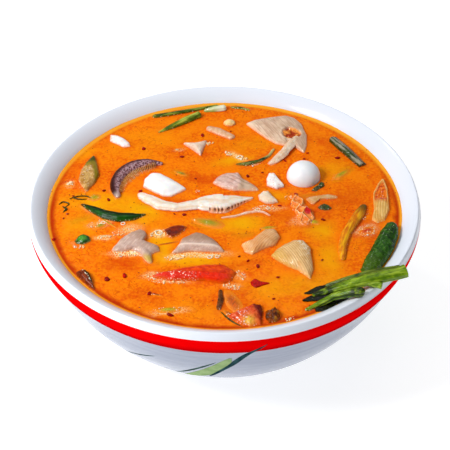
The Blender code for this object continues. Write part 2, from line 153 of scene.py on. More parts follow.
# %% A soft random field
def scramble(corner, seed):
    """A number between -1 and 1 for each whole-numbered lattice corner, by integer hashing."""
    x, y, z = (corner[..., k].astype(np.uint32) for k in range(3))
    h = x * np.uint32(73856093) ^ y * np.uint32(19349663) ^ z * np.uint32(83492791)
    h = (h ^ np.uint32(seed * 7919 + 17)) * np.uint32(2654435761)
    h = (h ^ (h >> np.uint32(15))) * np.uint32(2246822519)
    h ^= h >> np.uint32(13)
    return (h & np.uint32(0xFFFFFF)).astype(float) / 0x7FFFFF - 1


def cloud(points, size, seed=0, octaves=2):
    """Random field from -1 to 1 with lumps `size` mm wide: lattice values blended by the
    S-curve t*t*(3-2t) along each axis, plus finer lattices at half the strength each."""
    points = np.asarray(points, float)
    total, weight = np.zeros(points.shape[:-1]), 0.0
    for octave in range(octaves):
        at = points * (2.0 ** octave / size) + 311.7 + 17.3 * octave
        low = np.floor(at).astype(np.int64)
        t = at - low
        t = t * t * (3 - 2 * t)
        value = np.zeros(total.shape)
        for corner in np.ndindex(2, 2, 2):
            share = np.prod(np.where(corner, t, 1 - t), axis=-1)
            value += share * scramble(low + np.array(corner), seed + 31 * octave)
        total += value * 0.5 ** octave
        weight += 0.5 ** octave
    return total / weight


def step(value, low, high):
    """0 below low, 1 above high, and an S-curve between."""
    t = np.clip((value - low) / (high - low), 0, 1)
    return t * t * (3 - 2 * t)


def full_turn(count):
    """`count` directions spread evenly round a circle, in radians."""
    return np.arange(count) * 2 * np.pi / count


def plan(x, y):
    """Points laid flat, at height 0."""
    return np.stack((x, y, 0 * x), -1)


def rotated(x, y, turn):
    """Points (x, y) turned about the origin by `turn` radians."""
    c, s = math.cos(turn), math.sin(turn)
    return x * c - y * s, x * s + y * c


# %% [markdown]
# ## Reading shapes from the solids
# The solids already hold where each slice and stalk lies. A slice gives its outline as a
# radius for each direction from its middle, and a stalk gives its sections where planes
# across it cut its edges. Both are worked out for all edges at once.

# %% Outlines and sections
def edges_of(node):
    """Both ends of every triangle side of a solid, in millimetres, as an array (n, 2, 3)."""
    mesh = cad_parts[node].data
    places = np.empty(len(mesh.vertices) * 3)
    mesh.vertices.foreach_get("co", places)
    places = places.reshape(-1, 3) / MM
    pairs = np.empty(len(mesh.edges) * 2, int)
    mesh.edges.foreach_get("vertices", pairs)
    return places[pairs.reshape(-1, 2)]


def outline_of(node, count=160, middle=None, keep=None):
    """Middle (x, y), and for `count` directions the radius and height of the farthest edge
    that a ray from the middle meets in plan. `keep` leaves out the edges of a part that isn't
    wanted, such as a stem."""
    ends = edges_of(node)
    if keep is not None:
        ends = ends[keep(ends).all(1)]
    spots = np.unique(ends.reshape(-1, 3).round(3), axis=0)
    middle = spots[:, :2].mean(0) if middle is None else np.array(middle, float)
    turn = full_turn(count)
    ray = np.stack((np.cos(turn), np.sin(turn)), -1)
    a, b = ends[:, 0, :2] - middle, ends[:, 1, :2] - middle
    side = b - a
    det = ray[:, None, 0] * -side[None, :, 1] + ray[:, None, 1] * side[None, :, 0]
    det = np.where(np.abs(det) < 1e-9, np.nan, det)
    along = (a[None, :, 0] * -side[None, :, 1] + a[None, :, 1] * side[None, :, 0]) / det
    share = (ray[:, None, 0] * a[None, :, 1] - ray[:, None, 1] * a[None, :, 0]) / det
    hit = np.where((share >= -1e-6) & (share <= 1 + 1e-6) & (along > 0), along, -1)
    far = np.nanargmax(hit, axis=1)
    rows = np.arange(count)
    radius, share = hit[rows, far], share[rows, far]
    height = ends[far, 0, 2] * (1 - share) + ends[far, 1, 2] * share
    return middle, radius, height


def soften(values, width):
    """Running mean of a closed loop of values over `width` neighbours to each side."""
    kernel = np.hanning(2 * width + 3)[1:-1]
    return np.convolve(np.concatenate((values[-width:], values, values[:width])),
                       kernel / kernel.sum(), "valid")


def sections_of(node, count=48, around=None, ends=0.02):
    """Sections of a stalk: middles (count, 3), half widths and half thicknesses, where planes
    across its longest direction, or rays from the point `around`, cut its edges."""
    pairs = edges_of(node)
    flat = pairs[..., :2]
    if around is None:
        spots = flat.reshape(-1, 2)
        main = np.linalg.svd(spots - spots.mean(0), full_matrices=False)[2][0]
        main = main if main[np.argmax(np.abs(main))] > 0 else -main
        along = flat @ main
    else:
        along = np.arctan2(*(flat - np.array(around)).transpose(2, 0, 1)[::-1])
        along = np.where(along < -np.pi / 2, along + 2 * np.pi, along)
    low, high = along.min(), along.max()
    cuts = low + (high - low) * np.linspace(ends, 1 - ends, count)
    share = (cuts[:, None] - along[None, :, 0]) / np.where(
        np.abs(along[:, 1] - along[:, 0]) < 1e-9, np.nan, along[:, 1] - along[:, 0])
    inside = (share >= 0) & (share <= 1)
    hits = pairs[None, :, 0] + np.nan_to_num(share)[..., None] * (pairs[:, 1] - pairs[:, 0])[None]
    hits = np.where(inside[..., None], hits, np.nan)
    least, most = np.nanmin(hits, axis=1), np.nanmax(hits, axis=1)
    middles = (least + most) / 2
    travel = np.gradient(middles[:, :2], axis=0)
    travel /= np.linalg.norm(travel, axis=1, keepdims=True)
    across = np.stack((travel[:, 1], -travel[:, 0]), -1)
    spread = ((hits[..., :2] - middles[:, None, :2]) * across[:, None]).sum(-1)
    middles[:, :2] += across * ((np.nanmax(spread, 1) + np.nanmin(spread, 1)) / 2)[:, None]
    return middles, (np.nanmax(spread, 1) - np.nanmin(spread, 1)) / 2, (most - least)[:, 2] / 2


for name in ("onion_petal_right", "quail_egg"):
    print(name, "mean radius", outline_of(name)[1].mean().round(1), "mm")

# %% [markdown]
# ## Building finishes
# A finish is one shader with nodes feeding its colour, gloss and bump. The same few steps
# come back in each: a noise of a certain size in millimetres, a value stored on the mesh, a
# soft threshold, and a blend of two colours. Each gets a short function, so a recipe reads
# like a list. Numbers that are constant over a surface stay on the shader's own sockets.

# %% A small kit for shader nodes
def linear(colour):
    """Screen colour, 0 to 255, to the linear light values that a shader takes."""
    c = np.asarray(colour, float) / 255
    return tuple(np.where(c <= 0.04045, c / 12.92, ((c + 0.055) / 1.055) ** 2.4)) + (1.0,)


class Finish:
    """A Principled material under construction, and the nodes that feed it. `tone` is its
    colour so far, and `pattern` is what its bump follows."""

    def __init__(self, name, roughness=0.3, specular=0.5, coat=0.0, subsurface=0.0,
                 bleed=(1.0, 0.4, 0.2), bleed_mm=2.0):
        self.material = bpy.data.materials.new(name)
        self.material.use_nodes = True
        self.tree = self.material.node_tree
        self.shader = self.tree.nodes["Principled BSDF"]
        for socket, value in (("Roughness", roughness), ("Specular IOR Level", specular),
                              ("Coat Weight", coat), ("Coat Roughness", 0.06),
                              ("Subsurface Weight", subsurface), ("Subsurface Radius", bleed),
                              ("Subsurface Scale", bleed_mm * MM)):
            self.shader.inputs[socket].default_value = value
        self.place = self.node("ShaderNodeTexCoord").outputs["Object"]
        self.tone = self.pattern = None

    def node(self, kind, inputs=None, **settings):
        """A new node with its settings, and with values or sockets put into its inputs."""
        node = self.tree.nodes.new(kind)
        for key, value in settings.items():
            setattr(node, key, value)
        for key, value in (inputs or {}).items():
            if isinstance(value, bpy.types.NodeSocket):
                self.tree.links.new(value, node.inputs[key])
            else:
                node.inputs[key].default_value = value
        return node

    def spot(self, stretch=(1, 1, 1), turn=0.0, seed=0.0):
        """Object coordinates with X laid along direction `turn` in degrees, then multiplied by
        `stretch` along each axis: a small factor draws a pattern out along that axis."""
        if turn:
            turned = self.node("ShaderNodeVectorRotate", {"Vector": self.place,
                                                          "Angle": -math.radians(turn)})
            place = turned.outputs[0]
        else:
            place = self.place
        return self.node("ShaderNodeMapping", {"Vector": place, "Scale": stretch,
                                               "Location": (seed, seed * 0.7, 0)}).outputs[0]

    def noise(self, size, detail=3.0, stretch=(1, 1, 1), turn=0.0, seed=0.0, distortion=0.0):
        """Noise from 0 to 1 with lumps `size` mm wide."""
        return self.node("ShaderNodeTexNoise", {
            "Vector": self.spot(stretch, turn, seed), "Scale": 1 / (size * MM),
            "Detail": detail, "Distortion": distortion}).outputs["Fac"]

    def cells(self, size, seed=0.0, feature="F1"):
        """Distance to the nearest of scattered points about `size` mm apart, in cell widths."""
        return self.node("ShaderNodeTexVoronoi", {
            "Vector": self.spot(seed=seed), "Scale": 1 / (size * MM)},
            feature=feature).outputs["Distance"]

    def field(self, name):
        """A value that is stored on the mesh."""
        return self.node("ShaderNodeAttribute", attribute_name=name).outputs["Fac"]

    def height(self):
        """Height above the table in millimetres."""
        split = self.node("ShaderNodeSeparateXYZ", {"Vector": self.place})
        return self.times(split.outputs["Z"], 1 / MM)

    def sum(self, operation, a, b=0.0):
        """One step of arithmetic on two values."""
        return self.node("ShaderNodeMath", {0: a, 1: b}, operation=operation).outputs[0]

    def times(self, a, b):
        """One value times another."""
        return self.sum("MULTIPLY", a, b)

    def ramp(self, value, low, high, start=0.0, end=1.0):
        """`start` below low, `end` above high, and an S-curve between."""
        return self.node("ShaderNodeMapRange", {"Value": value, "From Min": low, "From Max": high,
                                                "To Min": start, "To Max": end},
                         interpolation_type="SMOOTHSTEP").outputs["Result"]

    def blend(self, factor, a, b):
        """Colour a where the factor is 0 and b where it is 1. A tuple is a screen colour."""
        a, b = (c if isinstance(c, bpy.types.NodeSocket) else linear(c) for c in (a, b))
        mixed = self.node("ShaderNodeMix", {0: factor, 6: a, 7: b}, data_type="RGBA")
        return mixed.outputs[2]

    def over(self, mask, colour):
        """Lays a colour over the tone so far, as strongly as the mask says."""
        self.tone = self.blend(mask, self.tone, colour)

    def stain(self, field, strength, colour):
        """Lays a colour over the tone, as strongly as a value stored on the mesh says."""
        self.over(self.times(self.field(field), strength), colour)

    def shade(self, field, low, high, strength, colour):
        """Lays a colour over the tone, more and more as a stored value goes from low to high."""
        self.over(self.ramp(self.field(field), low, high, 0, strength), colour)

    def colour(self, socket):
        """Joins the finished colour to the shader."""
        self.tree.links.new(socket, self.shader.inputs["Base Color"])

    def gloss(self, socket):
        """Joins a roughness that varies over the surface to the shader."""
        self.tree.links.new(socket, self.shader.inputs["Roughness"])

    def bump(self, height, depth, below=None):
        """Small relief: `height` from 0 to 1 stands for `depth` mm. Returns the normal, so a
        finer bump can lie on a coarser one."""
        inputs = {"Height": height, "Distance": depth * MM, "Strength": 1.0}
        if below is not None:
            inputs["Normal"] = below
        normal = self.node("ShaderNodeBump", inputs).outputs[0]
        self.tree.links.new(normal, self.shader.inputs["Normal"])
        if self.shader.inputs["Coat Weight"].default_value > 0:
            self.tree.links.new(normal, self.shader.inputs["Coat Normal"])
        return normal


print("a screen grey of 188 is", round(linear((188, 188, 188))[0], 2), "in linear light")

# %% [markdown]
# ## Camera, light and floor
# The camera stands about 0.8 m away and looks down at 40 degrees, as an eater does when the
# bowl is set down. One soft lamp from the left does most of the work, so the left of the
# inner wall lies in shade and the wet food catches small glints; many more glints are painted
# on the food. A weak lamp, low at the left front, lights the outer wall, whose grey below the
# lip is painted shade. The floor is plain and pale.

# %% Camera
CAMERA_PLACE = (0.27, -606.02, 582.58)
CAMERA_TARGET = (0.27, 0.0, 65.11)
LENS = 104.43             # mm on a 36 mm wide sensor


def aim(item, place, target):
    """Stands a camera or a lamp at `place`, turned to face `target`, both in millimetres, and
    returns the way from one to the other."""
    way = np.subtract(target, place)
    item.location = np.array(place) * MM
    item.rotation_euler = (math.atan2(math.hypot(way[0], way[1]), -way[2]), 0,
                           math.atan2(-way[0], way[1]))
    bpy.context.scene.collection.objects.link(item)
    return way


camera = bpy.data.objects.new("camera", bpy.data.cameras.new("camera"))
camera.data.lens = LENS
camera.data.sensor_width = 36
camera.data.clip_start, camera.data.clip_end = 0.05, 20
way = aim(camera, CAMERA_PLACE, CAMERA_TARGET)
bpy.context.scene.camera = camera
bpy.context.scene.view_settings.view_transform = "Standard"
print("looking down at", round(math.degrees(math.atan2(-way[2], way[1])), 1), "degrees")


# %% Lamps, sky and floor
SKY_STRENGTH = 0.22
FLOOR_GLOW = 0.76         # light that the floor gives off itself, which keeps it pale
FLOOR_REACH = 4.0         # metres


def lamp(name, place, target, size, watts):
    """A square area lamp, `size` mm wide, at `place` and facing `target`."""
    data = bpy.data.lights.new(name, "AREA")
    data.energy, data.size = watts, size * MM
    aim(bpy.data.objects.new(name, data), place, target)


lamp("key", (-620, -260, 760), (0, 0, RIM), 260, 7.4)
lamp("top", (150, 250, 950), (0, 0, RIM), 700, 1.7)
lamp("glint", (-300, 500, 700), (0, 0, RIM), 40, 0.5)
lamp("fill", (-560, -420, 120), (0, 0, RIM / 2), 300, 0.9)

world = bpy.data.worlds.new("studio")
bpy.context.scene.world = world
world.use_nodes = True
sky = world.node_tree.nodes["Background"]
sky.inputs["Color"].default_value = (0.93, 0.96, 1.0, 1)
sky.inputs["Strength"].default_value = SKY_STRENGTH

floor_paint = Finish("floor", roughness=0.9, specular=0.1)
floor_paint.colour(floor_paint.blend(floor_paint.noise(60), (200, 200, 200), (204, 204, 204)))
floor_paint.shader.inputs["Emission Color"].default_value = (1, 1, 1, 1)
floor_paint.shader.inputs["Emission Strength"].default_value = FLOOR_GLOW
floor_mesh = bpy.data.meshes.new("floor")
floor_corners = FLOOR_REACH * np.array([(-1, -1, 0), (1, -1, 0), (1, 1, 0), (-1, 1, 0)])
floor_mesh.from_pydata(floor_corners.tolist(), [], [(0, 1, 2, 3)])
floor_mesh.materials.append(floor_paint.material)
floor = bpy.data.objects.new("floor", floor_mesh)
bpy.context.scene.collection.objects.link(floor)

# %% [markdown]
# ## The bowl
# A melamine bowl is pressed in one piece, with a foot ring, a rounded wall and a thick rolled
# lip. It could be modelled by hand and subdivided, but it is a body of revolution, so a
# profile turned about the axis gives its wall exactly. The lip is a quarter ellipse outside
# and, from its crest down to the soup, a curve between a straight slope and an ellipse.

# %% Bowl profile
WALL_REACH = 115.9        # depth below the rim at which the wall's curve would meet the axis
WALL_DROP_POWER = 1.79
WALL_ROUND_POWER = 1.57
WALL_THICKNESS = 4.0
RIM_SWELL = 4.2           # the wall is this much thicker at the soup than further down
RIM_SWELL_REACH = 40.0
LIP_MIDDLE = 115.3        # radius of the lip's crest
WIDEST_DEPTH = 8.4        # below the rim
BAND_TOP, BAND_FOOT = 4.6, 16.3    # depths of the red band
INNER_BEND = 1.28         # 1 would be a straight slope from crest to soup, 2 an ellipse
BAND_BULGE = 2.9          # how far the wall swells out at its widest
BAND_BULGE_REACH = 11.5
BAND_ROWS = 14
WALL_ROWS = 48
WALL_FOOT = 4.4           # height at which the wall leaves the foot
FLOOR_HEIGHT = 8.0
BOWL_SIDES = 288


def wall_curve(depth):
    """Share of the rim's radius: (1 - (depth / reach)^1.79)^(1/1.57), a rounded curve."""
    return (1 - (depth / WALL_REACH) ** WALL_DROP_POWER) ** (1 / WALL_ROUND_POWER)


RIM_RADIUS = (BOWL_REACH - BAND_BULGE) / wall_curve(WIDEST_DEPTH)


def wall_radius(depth):
    """The plain curve of the wall, in millimetres."""
    return RIM_RADIUS * wall_curve(depth)


def outer_radius(depth):
    """The wall's curve with the swelling of the band on it, a bell exp(-(d / reach)^2)."""
    swelling = np.exp(-((depth - WIDEST_DEPTH) / BAND_BULGE_REACH) ** 2)
    return wall_radius(depth) + BAND_BULGE * swelling


def inner_radius(depth):
    """The plain curve less the wall, which swells towards the soup's surface."""
    fade = np.clip(1 - (depth - (RIM - LEVEL)) / RIM_SWELL_REACH, 0, None)
    return wall_radius(depth) - WALL_THICKNESS - RIM_SWELL * fade ** 2


def curve_through(points, per_side=8):
    """Catmull-Rom curve: each side is a cubic through its ends, with slopes set by the
    neighbours on either side."""
    p = np.asarray(points, float)
    p = np.concatenate((2 * p[:1] - p[1:2], p, 2 * p[-1:] - p[-2:-1]))
    t = (np.arange(per_side) / per_side)[None, :, None]
    a, b, c, d = (p[k:len(p) - 3 + k, None] for k in range(4))
    curve = 0.5 * (2 * b + (c - a) * t + (2 * a - 5 * b + 4 * c - d) * t ** 2
                   + (3 * b - a - 3 * c + d) * t ** 3)
    return np.concatenate((curve.reshape(-1, p.shape[1]), p[-2:-1]))


def turned(profile):
    """Surface of revolution: each (radius, height) of the profile becomes a loop."""
    turn = full_turn(BOWL_SIDES)
    r, z = profile[:, 0, None], profile[:, 1, None]
    return stack(np.stack(np.broadcast_arrays(r * np.cos(turn), r * np.sin(turn), z), -1))


foot = curve_through([(4, 4), (50, 4), (51.4, 3.2), (52, 0.6), (53, 0), (56, 0), (57, 0.6),
                      (57.4, 3.0)], 4)
outer_depth = np.concatenate((np.linspace(RIM - WALL_FOOT, BAND_FOOT, WALL_ROWS),
                              np.linspace(BAND_FOOT, BAND_TOP, BAND_ROWS + 1)[1:]))
outer = np.stack((outer_radius(outer_depth), RIM - outer_depth), -1)
lip_turn = np.linspace(math.asin(1 - BAND_TOP / WIDEST_DEPTH), np.pi / 2, 15)[1:]
lip = np.stack((LIP_MIDDLE + (BOWL_REACH - LIP_MIDDLE) * np.cos(lip_turn),
                RIM - WIDEST_DEPTH * (1 - np.sin(lip_turn))), -1)
soup_depth = RIM - LEVEL
soup_edge = inner_radius(soup_depth)
bend_turn = np.linspace(0, np.pi / 2, 16)[1:]
inside = np.stack((LIP_MIDDLE - (LIP_MIDDLE - soup_edge) * np.sin(bend_turn) ** (2 / INNER_BEND),
                   LEVEL + soup_depth * np.cos(bend_turn) ** (2 / INNER_BEND)), -1)
inner_depth = np.linspace(soup_depth + 1.5, RIM - FLOOR_HEIGHT - 4, 40)
inner = np.stack((inner_radius(inner_depth), RIM - inner_depth), -1)
floor_curve = curve_through([inner[-1], (inner[-1, 0] * 0.9, FLOOR_HEIGHT + 1), (40, FLOOR_HEIGHT),
                             (4, FLOOR_HEIGHT)], 5)[1:]
bowl_profile = np.concatenate((foot, outer, lip, inside, inner, floor_curve))
print("widest point of the profile:", bowl_profile[:, 0].max().round(2), "mm")

# %% [markdown]
# Melamine is a hard, cool white plastic with a soft gloss. The band is a printed ring under the
# glaze with crisp edges, so its edges are rings of the mesh, and the faces between them get
# a finish of their own. The press leaves faint rings on the outer wall, drawn with a noise
# squeezed flat.

# %% Melamine and its red band
melamine = Finish("melamine", roughness=0.2, specular=0.2)
depth_now = melamine.sum("SUBTRACT", RIM, melamine.height())
rings = melamine.noise(9, detail=4, stretch=(0.25, 0.25, 3.0))
# Painted shade: the wall below the lip is a grey-blue, though the melamine is white all over; only the
# lip and upper wall keep the white.
white = melamine.blend(melamine.ramp(rings, 0.35, 0.65), (140, 148, 168), (148, 156, 175))
white = melamine.blend(melamine.ramp(depth_now, 9, 18), (234, 239, 249), white)
melamine.colour(white)
melamine.gloss(melamine.ramp(melamine.noise(22, detail=5), 0.3, 0.7, 0.15, 0.24))
melamine.bump(rings, 0.05)

red_print = Finish("red_print", roughness=0.4, specular=0.0)
red = red_print.blend(red_print.noise(30, detail=4), (232, 0, 3), (250, 3, 6))
red_depth = red_print.sum("SUBTRACT", RIM, red_print.height())
# Painted shade: the band darkens towards its foot, where it curves under.
red = red_print.blend(red_print.ramp(red_depth, 9.5, BAND_FOOT, 0, 0.75), red, (150, 2, 8))
red_print.colour(red)
red_print.bump(red_print.noise(9, detail=4, stretch=(0.25, 0.25, 3.0)), 0.05)

row = np.arange(len(bowl_profile) - 1)
band_start = len(foot) + WALL_ROWS - 1
in_band = ((row >= band_start) & (row < band_start + BAND_ROWS)).astype(int)
make_piece("white_bowl", turned(bowl_profile), [melamine.material, red_print.material],
           "melamine_white", "bowl", zones=np.repeat(in_band, BOWL_SIDES))

# %% [markdown]
# The print on the outer wall is a few brushed grass blades and leaves, set all round. Each
# blade is a strip carried along a path in angle and depth and laid on the wall, a few
# hundredths of a millimetre proud, like a transfer under the glaze. A path keeps its edges
# crisp where a painted texture would need a very fine mesh.

# %% Grass blades on the wall
BLADE_PROUD = 0.07
BLADE_ACROSS = 14


def on_wall(angle, depth, proud):
    """Point on the outer wall at an angle in degrees and a depth, moved out by `proud`."""
    radius, turn = outer_radius(depth) + proud, np.radians(angle)
    return np.stack((radius * np.cos(turn), radius * np.sin(turn), RIM - depth), -1)


def blade(path, width, tone):
    """A closed strip along (angle, depth) points. Its half width follows sin(pi s)^0.6, and
    its section is a flat ellipse: across by the cosine, proud of the wall by the sine."""
    line = curve_through(path, 12)
    s = np.linspace(0, 1, len(line))
    arc = np.stack((np.radians(line[:, 0]) * wall_radius(line[:, 1]), line[:, 1]), -1)
    travel = np.gradient(arc, axis=0)
    travel /= np.linalg.norm(travel, axis=1, keepdims=True)
    half = width / 2 * np.clip(np.sin(np.pi * np.clip(s, 0.015, 0.985)), 0, 1) ** 0.6
    turn = full_turn(BLADE_ACROSS)
    aside = half[:, None] * np.cos(turn)
    arc = arc[:, None] + aside[..., None] * np.stack((travel[:, 1], -travel[:, 0]), -1)[:, None]
    angle = np.degrees(arc[..., 0] / wall_radius(arc[..., 1]))
    proud = BLADE_PROUD * np.sin(turn) * np.ones_like(s)[:, None]
    return stack(on_wall(angle, arc[..., 1], proud), {"tone": tone})


def tuft(angle):
    """One spray of print, its lowest point at `angle`: a long dark blade that reaches into the
    band, a broad pale leaf beside it and two thin blades."""
    return [
        blade([(angle + 3.7, 59.6), (angle + 7.6, 44), (angle + 11.2, 32.9), (angle + 14.2, 22.5),
               (angle + 16.2, 16.9), (angle + 20.4, 9.0)], 4.4, 0.0),
        blade([(angle - 6, 70), (angle - 0.5, 58), (angle + 4, 46), (angle + 7.8, 35),
               (angle + 10.6, 24)], 11.5, 1.0),
        blade([(angle - 10, 64), (angle - 2.6, 48), (angle + 2.4, 38), (angle + 6.4, 30.4)], 2.6, 0.1),
        blade([(angle - 27, 51), (angle - 19.6, 42.6), (angle - 12.6, 34.8)], 2.6, 0.05)]


TUFT_ANGLES = (-99.0, -9.0, 81.0, 171.0)
print_ink = Finish("grass_print", roughness=0.4, specular=0.0)
wash = print_ink.ramp(print_ink.noise(5, detail=4, stretch=(1, 1, 0.4)), 0.3, 0.75)
dark_ink = print_ink.blend(wash, (20, 46, 54), (56, 88, 92))
pale_ink = print_ink.blend(wash, (132, 158, 106), (158, 182, 130))
print_ink.colour(print_ink.blend(print_ink.field("tone"), dark_ink, pale_ink))
print_ink.bump(print_ink.noise(2), 0.01)
make_piece("grass_print", joined([b for a in TUFT_ANGLES for b in tuft(a)]),
           print_ink.material, "melamine_white")

# %% [markdown]
# ## The soup
# The broth is thick with coconut milk and chilli oil: an opaque, uneven orange with yellow
# and red drifts, a dark red ring where it meets the bowl, partly chilli oil and partly painted
# shadow of the lip, strongest on the near side, and a thin film that climbs the wall.
# A fluid simulation would be slow and no truer here, for the surface is still. So it is a
# square grid mapped onto a disc, whose even spacing can carry drifts of colour and a low
# meniscus round each piece of food.

# %% How close the soup is to the food
SOUP_SIDE = 284           # grid points along a side of the soup
MENISCUS_REACH = 5.0      # mm from a piece within which the soup feels it
BORDER_POINTS = 120       # points on the outline of a piece in plan


def plan_border(node):
    """A solid's outline in plan, where it stands widest: its middle, radii and points."""
    middle, radius, _ = outline_of(node, BORDER_POINTS)
    turn = full_turn(BORDER_POINTS)
    return middle, radius, middle + radius[:, None] * np.stack((np.cos(turn), np.sin(turn)), -1)


def nearness(spots, nodes):
    """Distance in mm from each spot in plan to the nearest outline, MENISCUS_REACH at most,
    and 0 inside an outline. Only spots close to a piece's box are compared with its outline."""
    nearest = np.full(len(spots), MENISCUS_REACH)
    for node in nodes:
        middle, radius, border = plan_border(node)
        low, high = border.min(0) - MENISCUS_REACH, border.max(0) + MENISCUS_REACH
        near = np.flatnonzero(((spots > low) & (spots < high)).all(1))
        gap = np.sqrt(((spots[near, None] - border) ** 2).sum(-1).min(1))
        offset = spots[near] - middle
        turn = np.arctan2(offset[:, 1], offset[:, 0]) % (2 * np.pi)
        reach = np.interp(turn, np.append(full_turn(BORDER_POINTS), 2 * np.pi),
                          np.append(radius, radius[0]))
        inside = np.hypot(*offset.T) < reach
        nearest[near] = np.minimum(nearest[near], np.where(inside, 0, gap))
    return nearest


def drift(spots, patches):
    """Sum of soft elliptical patches (x, y, half length, half width, turn in degrees,
    strength), each exp(-(d^2)^1.5), so it is flat in the middle and fades at its edge."""
    total = np.zeros(len(spots))
    for x, y, length, width, turn, strength in patches:
        along, across = rotated(spots[:, 0] - x, spots[:, 1] - y, -math.radians(turn))
        square = (along / length) ** 2 + (across / width) ** 2
        total += strength * np.exp(-square ** 1.5)
    return np.clip(total, 0, 1)


YELLOW_DRIFTS = [(-69, 3, 26, 9, -5, 1.0), (-49, -8, 13, 9, 0, .9), (8, -17, 15, 8, 10, 1.0),
                 (-37, -36, 8, 14, 0, 1.0), (-18, -49, 18, 6, 0, 1.0), (56, -22, 9, 9, 0, .9),
                 (61, -46, 8, 14, 0, .7), (7, 45, 15, 4, 15, .8), (30, 10, 10, 5, -20, .6),
                 (-86, -20, 12, 10, 60, .45), (66, 36, 13, 8, 30, .5), (40, -70, 28, 9, 10, .55),
                 (-55, 62, 30, 14, 25, .25), (20, 62, 22, 8, 10, .3), (-15, -90, 30, 7, 0, .2),
                 (-88, 50, 8, 4, 50, .5)]
RED_DRIFTS = [(-14, 26, 13, 5, -15, .8), (-66, 28, 5, 10, 0, .5), (-95, 34, 5, 14, -25, .5),
              (-58, -52, 11, 7, 0, .8), (52, -6, 14, 14, 0, .6), (83, -22, 9, 9, 0, .8),
              (75, 8, 14, 9, 30, .55), (4, -84, 12, 12, 0, .5), (24, -97, 12, 5, 0, .7),
              (-45, -78, 14, 6, -10, .45), (66, 62, 14, 6, -50, .4), (-33, 55, 8, 4, 0, .3),
              (62, -90, 14, 6, 30, 1.0), (-28, 2, 18, 3, -5, .4), (33, -8, 8, 6, 0, .4),
              (14, -52, 10, 3, 10, .5), (-72, -18, 9, 3, 10, .6), (-35, -61, 10, 4, 0, .6)]
GREEN_DRIFTS = [(-27, 31, 6, 3, -25, .7), (-10, -16, 9, 4, 5, .8), (73, 31, 10, 3.4, 48, .6),
                (-85, -12, 10, 3, 25, .5), (12, -27, 8, 2.4, 5, .4), (52, 9, 7, 3, 10, .5),
                (-46, 0, 8, 3, 15, .4)]
FOAM_DRIFTS = [(-54, -43, 11, 2.6, 4, 1.0), (-12, -44, 13, 2.2, 2, .9), (-27, -46, 6, 2.6, 10, 1.0),
               (-41, -62, 5, 2.6, 10, .6), (-29, -66.5, 9, 1.8, -4, .9), (4, -70.5, 5, 2.0, -20, .5),
               (9, -63, 3, 4, 20, .3), (-71, -29, 5, 2, 5, .9), (-56, -22, 7, 4, 20, .6),
               (-38, -26, 6, 3.4, 10, .8), (8, 49, 7, 2.4, -35, .9), (84, -23, 7, 4, 30, .6),
               (-30, -91, 9, 2.4, 4, .8), (-74, -17, 6, 3, 20, .6), (26, -3, 10, 2, 8, .5),
               (45, -14, 6, 4, 20, .4), (-29, 56, 4, 2, 20, .4), (-95, 21, 3, 3, 0, .6)]
FOOD = [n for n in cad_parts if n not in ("bowl", "broth")]
print(len(FOOD), "pieces float in the soup")

# %% The soup's surface and its body
INTO_WALL = 0.1           # mm that the soup reaches into the wall, so that no gap shows
grid = np.linspace(-1, 1, SOUP_SIDE)
u, v = np.meshgrid(grid, grid, indexing="ij")
disc = np.stack((u * np.sqrt(1 - v ** 2 / 2), v * np.sqrt(1 - u ** 2 / 2)), -1).reshape(-1, 2)
spots = disc * (soup_edge + INTO_WALL)
from_axis = np.hypot(*spots.T)
to_wall = soup_edge - from_axis
to_food = nearness(spots, FOOD)
warp = plan(spots[:, 0], spots[:, 1])
warped = spots + 2.6 * np.stack((cloud(warp, 7, 3, 3), cloud(warp, 7, 4, 3)), -1)
film = np.exp(-np.clip(to_wall, 0, None) / 0.7)
rise = (0.75 * film + 0.35 * np.exp(-to_food / 1.1) + 0.16 * cloud(warp, 16, 5, 3)
        + 0.05 * cloud(warp, 2.5, 6, 2))
top = np.stack((spots[:, 0], spots[:, 1], LEVEL + rise), -1)
top[:, :2] *= (1 + 0.45 * film / np.maximum(from_axis, 1))[:, None]

edge = np.concatenate((np.arange(SOUP_SIDE - 1) * SOUP_SIDE,
                       (SOUP_SIDE - 1) * SOUP_SIDE + np.arange(SOUP_SIDE - 1),
                       np.arange(SOUP_SIDE - 1, 0, -1) * SOUP_SIDE + SOUP_SIDE - 1,
                       np.arange(SOUP_SIDE - 1, 0, -1)))
side_depth = np.array([1.0, 4.0, 12.0, 26.0, 45.0, 62.0, 74.0])
side_reach = (inner_radius(soup_depth + side_depth) + INTO_WALL) / (soup_edge + INTO_WALL)
loops = top[edge][None] * np.array([1, 1, 0]) * side_reach[:, None, None]
loops[..., 2] = (LEVEL - side_depth)[:, None]
count = SOUP_SIDE ** 2
rows, cols = loops.shape[:2]
points = np.concatenate((top, loops.reshape(-1, 3), [[0, 0, FLOOR_HEIGHT]]))
i, j = np.meshgrid(np.arange(SOUP_SIDE - 1), np.arange(SOUP_SIDE - 1), indexing="ij")
here = i * SOUP_SIDE + j
quads = np.stack((here, here + SOUP_SIDE, here + SOUP_SIDE + 1, here + 1), -1).reshape(-1, 4)
ring_ids = np.concatenate((edge[None], count + np.arange(rows * cols).reshape(rows, cols)))
following = np.roll(ring_ids, -1, axis=1)
walls = np.stack((following[:-1], ring_ids[:-1], ring_ids[1:], following[1:]), -1).reshape(-1, 4)
keel = np.stack((following[-1], ring_ids[-1], np.full(cols, len(points) - 1)), -1)
padding = np.zeros(len(points) - count)
far_half = step(spots[:, 1], 0, 60)
